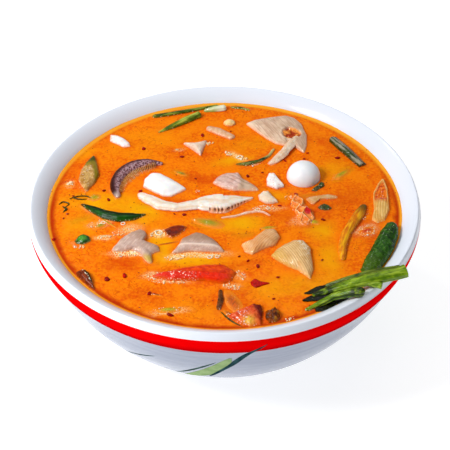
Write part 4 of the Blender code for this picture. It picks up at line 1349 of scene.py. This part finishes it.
peel = wet("tomato_peel", (232, 104, 22), (250, 160, 70), 2, gloss=.22, coat=.6, bleed=.1,
           bleed_colour=(1, .3, .1))
peel.shade("crest", .6, .95, .9, (255, 226, 170))
peel.shade("core", .4, .7, 1, (196, 0, 4))
slice_piece("tomato_peel", "tomato_skin", piece_of(peel, .3, fine=.6), "tomato_red", dome=2.2,
            square=3, seed=76, ragged=.14, relief=crumpled, rows=60, cols=240, lump=.3)


# %% Stewed brown pieces
def knobbly(x, y, s):
    """Lumps all over, two or three millimetres wide."""
    spot = plan(x, y)
    lumps = cloud(spot, 2.4, 79, 3)
    return 1.1 * lumps, {"crest": lumps * .5 + .5}


stewed = wet("stewed_lump", (66, 20, 0), (150, 70, 2), 1.8, gloss=.28, coat=.35)
stewed.shade("crest", .55, .8, 1, (204, 140, 30))
slice_piece("stewed_knob", "brown_clump_front", piece_of(stewed, .4, fine=.6, soak=.3),
            "stewed_brown", dome=3.8, square=2.2, ragged=.12, relief=knobbly, seed=78, rows=50,
            cols=160)
husk = wet("stewed_husk", (84, 8, 0), (150, 44, 2), 2.6, fibre=.8, turn=20, gloss=.25, coat=.3)
husk.shade("edge", .78, .95, .8, (222, 120, 24))
slice_piece("stewed_husk", "brown_piece", piece_of(husk, .3, soak=.3), "stewed_brown", dome=1.9,
            square=2.8, seed=80, ragged=.06, lump=.3, lump_size=3)
stalk_piece("stewed_strip", "brown_strip_front",
            piece_of(wet("stewed_strip", (60, 22, 4), (126, 70, 14), 1.4, coat=.4), .4, fine=.6,
                     soak=.3), "stewed_brown", relief=torn(3, .12, 81), lump=.35, lump_size=1.8,
            seed=82)

# %% [markdown]
# ## Green vegetables
# The greens run from near black to yellow. The pods and beans are tubes with a pale edge
# or a groove, the bitter gourd is covered in small warts, and the stalks over the rim are
# ridged like celery. Their glints come partly from a clear coat over fine bumps and partly
# from pale dots, lines and streaks painted on as highlights.


# %% Chilli slice, chips and back greens
def pod_shell(along, angle, share):
    """A cut pod: a rounded back with a seam, and a rolled lower edge, along which a dotted line of
    glints is painted.
    """
    lip_line = np.exp(-((angle - .15) / .28) ** 2) + np.exp(-((angle - 6.4) / .28) ** 2)
    return .10 * lip_line + .03 * np.cos(6 * angle), {
        "lip": lip_line, "back": step(np.sin(angle - .4), .55, .98)}


chilli = wet("green_chilli", (6, 54, 2), (24, 88, 4), 3, fibre=.7, turn=-12, gloss=.3, coat=.3,
             bleed=.03)
chilli.shade("back", .2, .9, .85, (14, 36, 2))
# Painted glints: a dotted pale line along the rolled lower edge.
glint_dots = chilli.ramp(chilli.cells(1.1, seed=.2), .34, .2)
chilli.over(chilli.times(chilli.ramp(chilli.field("lip"), .5, .95), glint_dots), (236, 246, 214))
chilli.shade("along", .10, 0, .8, (16, 40, 4))
stalk_piece("chilli_half", "chilli_slice", piece_of(chilli, .2, fine=.5, soak=.2), "green_dark",
            rows=120, cols=48, relief=pod_shell, lump=.08, seed=90)


def folded_leaf(x, y, s):
    """A raised bright middle with a darker rolled edge."""
    return .5 * np.exp(-((x + .5 * y) / 2) ** 2), {"bright": step(s, .75, .35)}


chip = wet("green_chip", (6, 58, 6), (28, 96, 16), 1.6, gloss=.2, coat=1.0, bleed=.05)
chip.over(chip.field("bright"), (66, 142, 20))
# Painted glint: a pale yellow-green line along the edge.
chip.shade("edge", .9, .99, .5, (206, 214, 120))
chip_material = piece_of(chip, .3, fine=.6, soak=.2)
slice_piece("green_chip_dressed", "green_chip", chip_material, "green_bright", dome=2.2,
            square=2.6, seed=91, relief=folded_leaf)


def ribbed(count, depth, seed):
    """Fine ribs along a stalk: depth * cos(count * angle), a little uneven."""
    def relief(along, angle, share):
        spot = np.stack((along, 4 * np.cos(angle), 4 * np.sin(angle)), -1)
        rib = np.cos(count * angle + .6 * cloud(spot, 20, seed + 5))
        return depth * rib + .05 * cloud(spot, 7, seed, 2), {
            "rib": rib * .5 + .5, "top": step(np.sin(angle), .1, .95)}
    return relief


def green_stalk(name, node, slot, dark, light, streak, turn, count=7, depth=.05, coat=.45,
                fatter=1.0, tip=None):
    """A ribbed green stalk with a lighter streak along its top, a painted highlight, and its
    finish. `tip` is where a change of colour towards the end starts and stops, as shares, and
    the colour."""
    made = wet(name + "_skin", dark, light, 4, fibre=.7, turn=turn, gloss=.26, coat=coat,
               bleed=.03)
    drawn_out = made.noise(2.2, stretch=(.2, 1, 1), turn=turn, seed=.5)
    # Painted highlight: a lighter streak along the top of the stalk.
    top_highlight = made.times(made.field("top"), made.ramp(drawn_out, .42, .6))
    made.over(made.times(top_highlight, .85), streak)
    made.shade("rib", .35, 0, .5, dark)
    if tip:
        made.over(made.ramp(made.field("along"), tip[0], tip[1]), tip[2])
    stalk_piece(name, node, piece_of(made, .25, fine=.5, soak=.45, soak_reach=1.2), slot,
                rows=90, relief=ribbed(count, depth, len(name)), fatter=fatter)


green_stalk("back_stem", "spring_onion_stem", "green_dark", (36, 62, 0), (82, 108, 6),
            (150, 160, 40), 15)
green_stalk("back_pod", "green_pod_back", "green_olive", (66, 92, 0), (120, 142, 8),
            (196, 204, 70), 40)
green_stalk("back_sliver", "green_sliver_back", "green_dark", (58, 74, 2), (104, 112, 10),
            (172, 172, 40), -15)
green_stalk("onion_butt", "spring_onion_butt", "pale_green", (148, 172, 66), (196, 208, 120),
            (238, 240, 200), 10, tip=(.35, .9, (236, 234, 206)))
green_stalk("bean_rod", "green_bean_rod", "green_dark", (30, 56, 10), (62, 84, 30),
            (176, 164, 140), -57, count=3, depth=.14, fatter=1.25)
green_stalk("leaf_curl", "green_curl", "green_dark", (28, 52, 2), (72, 98, 12), (160, 158, 70),
            30, count=3, depth=.1, tip=(.62, .9, (206, 190, 120)))
green_stalk("lemongrass", "lemongrass_stalk", "green_olive", (206, 108, 0), (244, 150, 4),
            (250, 186, 16), 70, count=9, depth=.03, coat=.3, tip=(.72, .95, (112, 78, 2)))

# %% Aubergine, leek and small leaves
def cut_round(x, y, s):
    """The dark skin is the upper right arc, and the brown flesh lies below and to the left."""
    arc = x + .62 * y
    return .4 * np.exp(-((arc - 1.4) / .8) ** 2), {"skin": step(arc, .5, 1.2),
                                                "line": np.exp(-((arc - .5) / .45) ** 2)}


slice_skin = wet("aubergine", (92, 26, 2), (156, 62, 10), 2, fibre=.8, turn=-60, gloss=.3,
                 coat=.25)
slice_skin.over(slice_skin.field("skin"), (10, 34, 2))
# Painted glints: a dotted pale line where skin meets flesh.
dotted_glints = slice_skin.times(slice_skin.field("line"),
                          slice_skin.ramp(slice_skin.cells(1.2), .5, .34))
slice_skin.over(dotted_glints, (236, 232, 206))
slice_piece("aubergine", "aubergine_slice", piece_of(slice_skin, .25, fine=.6, soak=.3),
            "aubergine_brown", dome=3.2, square=2.6, seed=95, relief=cut_round, lump=.2,
            lump_size=3)


def glassy(x, y, s):
    """A wrinkled, glassy heart and a rolled green edge on top and on the right."""
    spot = plan(x, y)
    return .5 * cloud(spot, 3.2, 97, 3), {
        "skin": np.maximum(step(y, 5, 9), step(x + .16 * y, 2.2, 4.2)),
        "dark": step(y - x * .3, 9, 13)}


leek = wet("leek", (170, 118, 44), (218, 176, 104), 3, fibre=1.2, turn=75, gloss=.2, coat=.6,
           bleed=.15)
# Painted glints: near-white flecks over the glassy heart.
leek.over(leek.ramp(leek.noise(1.4, detail=3, seed=.6), .6, .7, 0, .7), (255, 248, 232))
leek.over(leek.field("skin"), (142, 122, 4))
leek.over(leek.field("dark"), (66, 74, 2))
slice_piece("leek", "leek_wedge", piece_of(leek, .5, fine=.8), "pale_green", dome=2.8, square=2.8,
            seed=96, relief=glassy, rows=50, cols=200, lump=.2)


def crinkled(x, y, s):
    """Small creases, with the raised ones painted lighter as highlights."""
    spot = plan(x, y)
    fold = cloud(spot, 1.7, 99, 3)
    return .7 * fold, {"bright": step(fold, .1, .5)}


leaf = wet("small_leaf", (14, 40, 6), (44, 78, 18), 1.4, gloss=.22, coat=.9, bleed=.05)
# Painted highlight on the raised creases.
leaf.over(leaf.field("bright"), (96, 122, 62))
leaf_material = piece_of(leaf, .3, fine=.6, soak=.15)
slice_piece("leaf_beside_egg", "leaf_by_egg", leaf_material, "green_dark", dome=1.6, square=2.5,
            ragged=.16, relief=crinkled, seed=98)
slice_piece("leaf_in_middle", "leaf_middle", leaf_material, "green_dark", dome=1.6, square=2.5,
            ragged=.12, relief=crinkled, seed=100)


# %% Bitter gourd
def warty(along, angle, share):
    """Warts: round humps in staggered rows, 1.9 mm along and 16 to a turn, plus noise."""
    spot = np.stack((along, 5.5 * np.cos(angle), 5.5 * np.sin(angle)), -1)
    row = along / 1.9
    warts = np.cos(2 * np.pi * row) * np.cos(8 * angle + np.pi * np.floor(row + .5))
    fine = cloud(spot, 1.5, 102, 2)
    return .05 * warts + .09 * fine, {"wart": np.clip(.5 + .45 * fine + .3 * warts, 0, 1)}


gourd = wet("gourd", (18, 58, 0), (44, 96, 4), 3.6, gloss=.24, coat=.5, bleed=.03)
# Painted highlight and shade: the raised warts are lighter and the low places between them darker.
gourd.shade("wart", .62, .92, .8, (86, 128, 46))
gourd.shade("wart", .32, .1, .8, (6, 28, 2))
yellowing = gourd.times(gourd.ramp(gourd.field("along"), .45, .1), .55)
gourd.over(yellowing, (78, 104, 8))
gourd_glint = gourd.ramp(gourd.cells(2.1, seed=.2), .13, .07)
gourd.over(gourd.times(gourd_glint, .8), (206, 226, 190))
stalk_piece("bitter_gourd", "long_green_pod", piece_of(gourd, .2, fine=.5, soak=.3), "green_dark",
            rows=220, cols=120, relief=warty, lump=.1, seed=101)

# %% [markdown]
# ## Greens over the rim
# A few stalks of water spinach lean on the lip, cut square at the outer end, and their soaked
# leaves trail into the soup. The main stalk and its side shoot follow the same points as
# the solid does. The others follow their solids' sections. The stalks are ridged and shiny,
# and the leaves are painted nearly black, for wet leaf and for the greens' shadow on the
# soup together.

# %% Main stalk and side shoot
MAIN_STALK = [(100.3, -73.2, 13.8, 3.9, 3.7), (95.2, -74.8, 13.0, 3.5, 3.2),
              (88, -76.0, 12.2, 3.6, 3.1), (79, -77.2, 10.8, 3.6, 3.0),
              (68, -77.4, 6.8, 3.3, 2.7), (57.5, -77.6, 2.8, 2.6, 2.0), (49, -79, 0.6, 1.2, 1.0)]
SIDE_SHOOT = [(86.6, -81.8, 10.6, 2.0, 1.8), (81.5, -79.8, 10.4, 2.0, 1.8),
              (76.5, -77.6, 9.6, 1.8, 1.6)]


def celery(along, angle, share):
    """A deep groove on the near side and ridges elsewhere."""
    groove = np.exp(-((np.mod(angle + .35, 2 * np.pi) - 0.5) / .28) ** 2)
    spot = np.stack((along, 3 * np.cos(angle), 3 * np.sin(angle)), -1)
    ridge = np.cos(9 * angle + .5 * cloud(spot, 14, 112))
    return .035 * ridge - .22 * groove + .05 * cloud(spot, 5, 111, 2), {
        "groove": groove, "ridge": ridge * .5 + .5, "soaked": step(share, .55, .85)}


spinach = wet("water_spinach", (80, 114, 2), (134, 166, 14), 4, fibre=.6, turn=8, gloss=.24,
              coat=.45, bleed=.04)
spinach.over(spinach.ramp(spinach.noise(1.8, stretch=(.15, 1, 1), turn=8, seed=.3), .5, .66, 0,
                          .6), (176, 200, 60))
spinach.over(spinach.field("groove"), (26, 44, 2))
spinach.shade("ridge", .3, 0, .4, (44, 76, 2))
mottled = spinach.ramp(spinach.noise(3, detail=4, seed=.6), .35, .6)
spinach.over(spinach.times(spinach.field("soaked"), mottled), (26, 42, 2))
spinach_material = piece_of(spinach, .3, fine=.5, soak=.2)
stalks = joined([path_tube(MAIN_STALK, 16, cols=48, relief=celery, lump=.12, seed=110),
                 path_tube(SIDE_SHOOT, 16, cols=32, relief=celery, lump=.08, seed=113)])
make_piece("spinach_stalk", stalks, spinach_material, "green_bright", "greens_stalk_main")
stalk_piece("spinach_stalk_near", "greens_stalk_lower", spinach_material, "green_bright", cols=40,
            relief=celery, rows=110, lump=.1, seed=114)
green_stalk("spinach_thin_stem", "greens_stem_thin", "green_dark", (24, 44, 2), (62, 84, 8),
            (120, 140, 30), 8, count=3, depth=.12)


# %% Soaked leaves, dark with shade
RUFFLE = 0.8              # mm that the pleats rise and fall


def soaked_leaf_in_shade(path, width, seed):
    """A thin leaf along a path, pleated across: height RUFFLE * noise, and a section like a
    flat ellipse, so both faces are one closed skin."""
    stations = curve_through(path, 14)
    s = np.linspace(0, 1, len(stations))
    half = width * np.sin(np.pi * np.clip(.06 + .9 * s, 0, 1)) ** .8
    skin = tube(stations + (0, 0, LEVEL), half, 0 * half + .35, cols=30, seed=seed, lump=.05)
    points = skin[0]
    points[:, 2] += RUFFLE * cloud(points, 3.2, seed, 2)
    points[:, :2] += .5 * np.stack((cloud(points, 2.6, seed + 1), cloud(points, 2.6, seed + 2)), -1)
    return skin


# Each leaf is its path, half width and seed.
LEAVES = [
    ([(70, -79, 3.0), (64, -84, 1.4), (57, -88, .7), (50, -90.5, .2)], 4.2, 121),
    ([(74, -80, 4.6), (70, -85.5, 1.6), (64, -89, .6), (58, -91.8, .2)], 3.6, 124),
    ([(64, -72.5, 2.4), (57, -73.0, 1.2), (50, -75.5, .6), (44.5, -77, .1)], 2.4, 127),
    ([(60, -79, 2.8), (54, -80.5, 1.4), (48, -81.5, .7), (43, -83, .1)], 2.2, 130),
    ([(66, -82, 2.2), (58, -84, 1.2), (50, -86, .6)], 2.6, 133)]
# Painted shade: the leaves are near black, for wet leaf and for the greens' shadow on the soup together.
shaded_wet_leaf = wet("soaked_leaf_in_shade", (8, 7, 0), (26, 30, 1), 2, fibre=.8, turn=10, gloss=.2, coat=.4,
               bleed=.0)
shaded_wet_leaf.over(shaded_wet_leaf.ramp(shaded_wet_leaf.noise(2.6, detail=4, seed=.9), .6, .75, 0, .6), (70, 92, 8))
shaded_leaf_material = piece_of(shaded_wet_leaf, .4, fine=.7, soak=0)
make_piece("soaked_leaves_in_shade", joined([soaked_leaf_in_shade(*leaf) for leaf in LEAVES]), shaded_leaf_material,
           "green_dark", "greens_leaf_dark")

# %% [markdown]
# ## What floats between
# Chilli flakes, froth, large bubbles, shreds of herb and bits that lie just under the surface
# are scattered things. Each kind is one mesh of many small closed skins. The larger flakes
# have their own places, and the fine specks are drawn from a seeded generator, so they fall
# the same way each run.

# %% Small chips and bubbles
def chips(places, sizes, flat, seed, cols=9, rough=.35):
    """Small ellipsoids, flat chips or round beads, with each corner's radius changed by noise,
    turned at random about Z. places are (x, y, height above the soup), sizes half lengths."""
    rng = np.random.default_rng(seed)
    down = np.linspace(.35, np.pi - .35, 5)[:, None]
    turn = full_turn(cols)[None]
    ball = np.stack(np.broadcast_arrays(np.sin(down) * np.cos(turn), np.sin(down) * np.sin(turn),
                                        np.cos(down)), -1)
    parts = []
    for (x, y, z), size in zip(places, sizes):
        stretch, spin = rng.uniform(.5, .8), rng.uniform(0, np.pi)
        shape = ball * (1 + rough * cloud(ball * 2 + rng.uniform(0, 99, 3), 1.2, seed))[..., None]
        shape = shape * size * (1, stretch, flat)
        shape = np.stack((*rotated(shape[..., 0], shape[..., 1], spin), shape[..., 2]), -1)
        parts.append(stack(shape + (x, y, LEVEL + z), {"chance": rng.uniform()}))
    return joined(parts)


# Each flake is x, y and half length.
FLAKES = [(-51.4, 56.6, 1.4), (-14.3, 70.9, 1.7), (-26.9, 48.2, 1.4), (4.0, 75.1, .8),
          (14.3, 28.5, 1.4), (23.5, 32.1, .7), (-51.5, 13.7, 1.3), (-70.3, 5.5, 1.3),
          (-73.7, 14.2, 1.1), (-24.1, -8.6, 1.2), (71.1, 47.0, 1.5), (41.0, 1.7, 1.4),
          (33.2, -0.2, 1.1), (58.8, -13.4, 1.4), (43.5, 10.7, 1.2), (19.0, -54.3, 1.5),
          (13.5, -49.7, 1.0), (8.5, -46.0, .8), (56.0, -49.1, .9), (-66.4, -65.2, 1.7),
          (-56.6, -62.3, 1.9), (27.2, -81.3, .9), (30.1, -63.7, .9), (-92, 9, .9), (-94, -8, .9),
          (-96, -12, .8), (-90, -60, 1.0), (52.6, 52, 1.0), (50, 46, .8), (38, 44, .9),
          (-42, -77, 1.4), (-30, -94, 1.8), (47, -87, .8), (43, -58, .8), (-18, 26, .9),
          (-30, -8, .8), (-100, -31, 1.2), (61, -72, .7)]
SPECK_COUNT = 260
SPECK_REACH = 102.0       # mm from the bowl's axis
rng = np.random.default_rng(5)
turn = rng.uniform(0, 2 * np.pi, SPECK_COUNT)
reach = SPECK_REACH * np.sqrt(rng.uniform(0, 1, SPECK_COUNT))
specks = np.stack((reach * np.cos(turn), reach * np.sin(turn)), -1)
specks = specks[nearness(specks, FOOD) > 1.5]
speck_sizes = rng.uniform(.18, .5, len(specks))
FLAKE_SCALE = 1.15        # every flake is this much larger than listed
places = [(x, y, .35) for x, y, _ in FLAKES] + [(x, y, .25) for x, y in specks]
sizes = [FLAKE_SCALE * size for _, _, size in FLAKES] + list(speck_sizes)
chilli_red = Finish("chilli_flake", roughness=.3, specular=.1, coat=.12)
chilli_red.tone = chilli_red.blend(chilli_red.field("chance"), (138, 0, 0), (200, 12, 0))
chilli_red.over(chilli_red.ramp(chilli_red.noise(.9), .4, .65, 0, .7), (112, 2, 2))
chilli_red.pattern = chilli_red.noise(.6)
make_piece("chilli_flakes", chips(places, sizes, .34, 201), piece_of(chilli_red, .15, soak=0),
           "tomato_red")

BIG_FLAKE = [(14.5, -67.6), (17, -64.8), (19.8, -66.8), (25.4, -68.4), (21.5, -70.4), (17.6, -72.2),
             (15.2, -70.2)]
rim = curve_through(BIG_FLAKE + BIG_FLAKE[:1], 6)[:-1]
share = np.array([.05, .4, .75, .95, 1.0, .9])[:, None, None]
flake_top = np.array([.9, 1.0, .8, .5, .15, -.4])[:, None]
flake = rim.mean(0) + (rim - rim.mean(0)) * share
flake_z = LEVEL + flake_top + .35 * cloud(plan(flake[..., 0], flake[..., 1]), 2.5, 7)
make_piece("large_chilli_flake",
           stack(np.concatenate((flake, flake_z[..., None]), -1), {"chance": 1.0}),
           chilli_red.material, "tomato_red")


def froth(zones, seed):
    """Small bubbles: domes scattered round each zone (x, y, half length, half width, turn,
    count, largest radius), with many small ones to a large one."""
    rng = np.random.default_rng(seed)
    places, sizes = [], []
    for x, y, length, width, turn, count, largest in zones:
        a, r = rng.uniform(0, 2 * np.pi, count), np.sqrt(rng.uniform(0, 1, count))
        dx, dy = rotated(length * r * np.cos(a), width * r * np.sin(a), math.radians(turn))
        size = 1.35 * largest * (.3 + .7 * rng.uniform(0, 1, count) ** 3)
        places += list(zip(x + dx, y + dy, .15 * size + .25))
        sizes += list(size)
    return places, sizes


FROTH = [(-33, -66.5, 11, 2.4, -6, 90, .55), (-40, -62, 5, 2.5, 10, 40, .5),
         (4, -71, 6, 2.4, -20, 50, .5), (9, -62, 3, 4, 20, 30, .45), (-55, -43.5, 9, 2.2, 6, 70, .6),
         (-62, -42, 5, 1.6, 10, 30, .5), (-14, -45.4, 12, 1.8, 0, 60, .5), (-29, -47, 6, 2, 10, 40, .7),
         (-70, -28.5, 4, 1.5, 5, 30, .6), (-60, -24, 7, 3, 25, 50, .5), (-38, -26, 6, 3.5, 10, 50, .6),
         (-84.5, -37.5, 4, 1.4, -10, 24, .6), (24, -2, 7, 2.4, 8, 50, .5), (40, 8, 4, 2, 30, 24, .5),
         (84, -23, 6, 5, 40, 70, .5), (-30, -90, 10, 2.2, 4, 40, .5), (9.7, 47.5, 5, 1.8, -30, 26, .7),
         (20, 40.5, 4, 1.2, 25, 20, .5), (2.4, 51.4, 3, 1.4, -40, 16, .8), (-76, -17, 6, 3, 20, 40, .45),
         (50, -15, 4, 3, 0, 30, .4), (-10, 62, 3, 1.6, 30, 14, .6), (-17, 14, 2, 1.5, 0, 8, .5),
         (-95, 21, 2.4, 2, 0, 14, .9), (36, -97, 3, 1.5, 20, 16, .5), (8, -97, 8, 2, -20, 34, .5),
         (84, -8, 2, 6, -10, 20, .45), (56, -80, 6, 2, 15, 20, .4)]
places, sizes = froth(FROTH, 210)
bubble = Finish("froth", roughness=.15, specular=.4, coat=.2)
bubble.tone = bubble.blend(bubble.field("chance"), (255, 206, 120), (255, 250, 228))
bubble.pattern = bubble.noise(.5)
make_piece("froth", chips(places, sizes, .8, 211, cols=8, rough=.05),
           piece_of(bubble, .02, soak=0), "broth_orange")


# %% Things just under the surface
def mound(x, y, length, width, turn, height, tone, rows=9, cols=48):
    """A low lumpy dome over the soup: at share s of the way out it stands height (1 - s^2),
    less a little, so its edge dips under."""
    s = np.concatenate((np.linspace(.04, 1, rows), [1.0]))[:, None]
    angle = full_turn(cols)[None]
    reach = 1 + .22 * cloud(np.stack((2 * np.cos(angle), 2 * np.sin(angle), x + 0 * angle), -1), 1.1, 9)
    u, v = rotated(s * reach * length * np.cos(angle), s * reach * width * np.sin(angle),
                   math.radians(turn))
    drop = np.concatenate((np.zeros(rows), [1.0]))[:, None]
    spot = np.stack((x + u, y + v, LEVEL - .15 + height * (1 - s ** 2) - drop + 0 * angle), -1)
    spot[..., 2] += .3 * height * cloud(spot, 2.0, 10) * (1 - s ** 2)
    return stack(spot, {"tone": tone, "edge": s + 0 * angle})


# Each bit is x, y, half length, half width, turn, height and tone.
SUNK = [(4.4, -84.0, 12.5, 5.0, -64, .8, .75), (-9.8, -16.0, 11.5, 4.6, -16, .9, .2),
        (72.5, 30.5, 9.5, 2.6, 43, .9, .3), (-73.7, -18.7, 4.2, 2.4, 20, .9, .12),
        (-95.4, 21.0, 3.2, 2.6, 0, .8, .5), (-27.0, 31.2, 5.2, 2.0, -25, .8, .1),
        (-31, -90, 7.5, 2.6, 4, .9, .4), (-39, -77.6, 5.5, .9, -14, .8, .85),
        (-33, -34.6, 11, .8, 14, .8, .8), (-69.5, -15.5, 9, .8, -42, .7, .08),
        (-30.2, 55.5, 2.2, 1.4, 0, .7, .55), (-10.0, 61.9, 1.6, 1.2, 0, .7, .6),
        (84, -23.3, 6.5, 3.6, 25, .8, .95), (25.7, -20.6, 6.0, 2.2, 10, .7, .3),
        (-70.7, -28.7, 3.4, 1.6, 5, 1.0, .62), (52.6, -15.1, 5, 3, -10, .6, .35),
        (-78.9, 8.0, 5.0, 4.0, 30, .5, .25),
        (3.0, -93.3, 6.0, 1.8, -38, .6, .8)]
sunk = wet("sunk_bits", (120, 116, 6), (172, 164, 30), 2.2, fibre=.7, turn=60, gloss=.25, coat=.6,
           bleed=0)
for low, high, shade in ((.15, .25, (196, 176, 16)), (.4, .5, (250, 220, 164)),
                         (.65, .72, (216, 92, 2)), (.78, .84, (120, 40, 4)),
                         (.88, .94, (236, 66, 12))):
    darker = tuple(round(.8 * c) for c in shade)
    patchy = sunk.blend(sunk.ramp(sunk.pattern, .4, .6), shade, darker)
    sunk.over(sunk.ramp(sunk.field("tone"), low, high), patchy)
glints = sunk.times(sunk.ramp(sunk.cells(1.6, seed=.4), .22, .12),
                    sunk.ramp(sunk.noise(4, seed=.2), .45, .6))
sunk.over(glints, (255, 236, 196))
sunk.shade("edge", .1, .9, 1, (248, 136, 4))
make_piece("sunk_bits", joined([mound(*item) for item in SUNK]),
           piece_of(sunk, .3, fine=.6, soak=0), "broth_orange")

# Each wisp is its path and half width.
WISPS = [([(-100, 1, .2), (-97.5, 3.2, .5), (-94, 1.4, .4), (-96, -1.8, .2)], .55),
         ([(-94, 6.4, .2), (-89, 8.6, .4), (-84, 8.8, .4), (-81, 7.0, .2)], .5),
         ([(-97.5, -1, .3), (-95.2, -3.4, .5), (-96.8, -6.4, .2)], .8),
         ([(-92.5, 7.4, .2), (-88, 5.8, .4), (-83.5, 6.2, .2)], .4),
         ([(-2.1, -91.5, .2), (3.2, -98.2, .3), (9.8, -103.3, .1)], .6)]
herb = wet("herb_wisp", (34, 30, 2), (96, 84, 10), 1.4, gloss=.3, coat=.3, bleed=0)
wisps = [tube(line[:, :3] + (0, 0, LEVEL), half * np.sin(np.pi * np.linspace(.08, .95, len(line))),
              .35 + 0 * line[:, 0], cols=12, lump=.2, lump_size=1.5, seed=140)
         for line, half in ((curve_through(path, 10), half) for path, half in WISPS)]
make_piece("herb_wisps", joined(wisps), piece_of(herb, .3, soak=0), "green_dark")


# %% Rings of large bubbles
def ring_bubble(x, y, radius, thick):
    """A large bubble's ring: a small circle of half width `thick` carried round a circle."""
    turn = np.linspace(0, 2 * np.pi, 28)[:, None]
    round_it = full_turn(8)[None]
    reach = radius + thick * np.cos(round_it)
    return stack(np.stack(np.broadcast_arrays(
        x + reach * np.cos(turn), y + reach * np.sin(turn),
        LEVEL + .35 + thick * np.sin(round_it)), -1), {"chance": 1.0})


# Each ring is x, y, radius and half thickness.
RINGS = [(-38.6, -25.1, 2.0, .3), (-60.2, -16.9, 1.2, .25), (-8.5, -46.6, 1.3, .22),
         (-4.2, -46.2, 1.1, .2), (9.7, 47.5, 1.5, .25), (-72, -16, 1.2, .2), (-60, -45, 1.2, .2),
         (-48, -44.6, 1.1, .2), (20, -4, 1.3, .2), (26, -2.5, 1.0, .2)]
make_piece("ring_bubbles", joined([ring_bubble(*ring) for ring in RINGS]), bubble.material,
           "broth_orange")
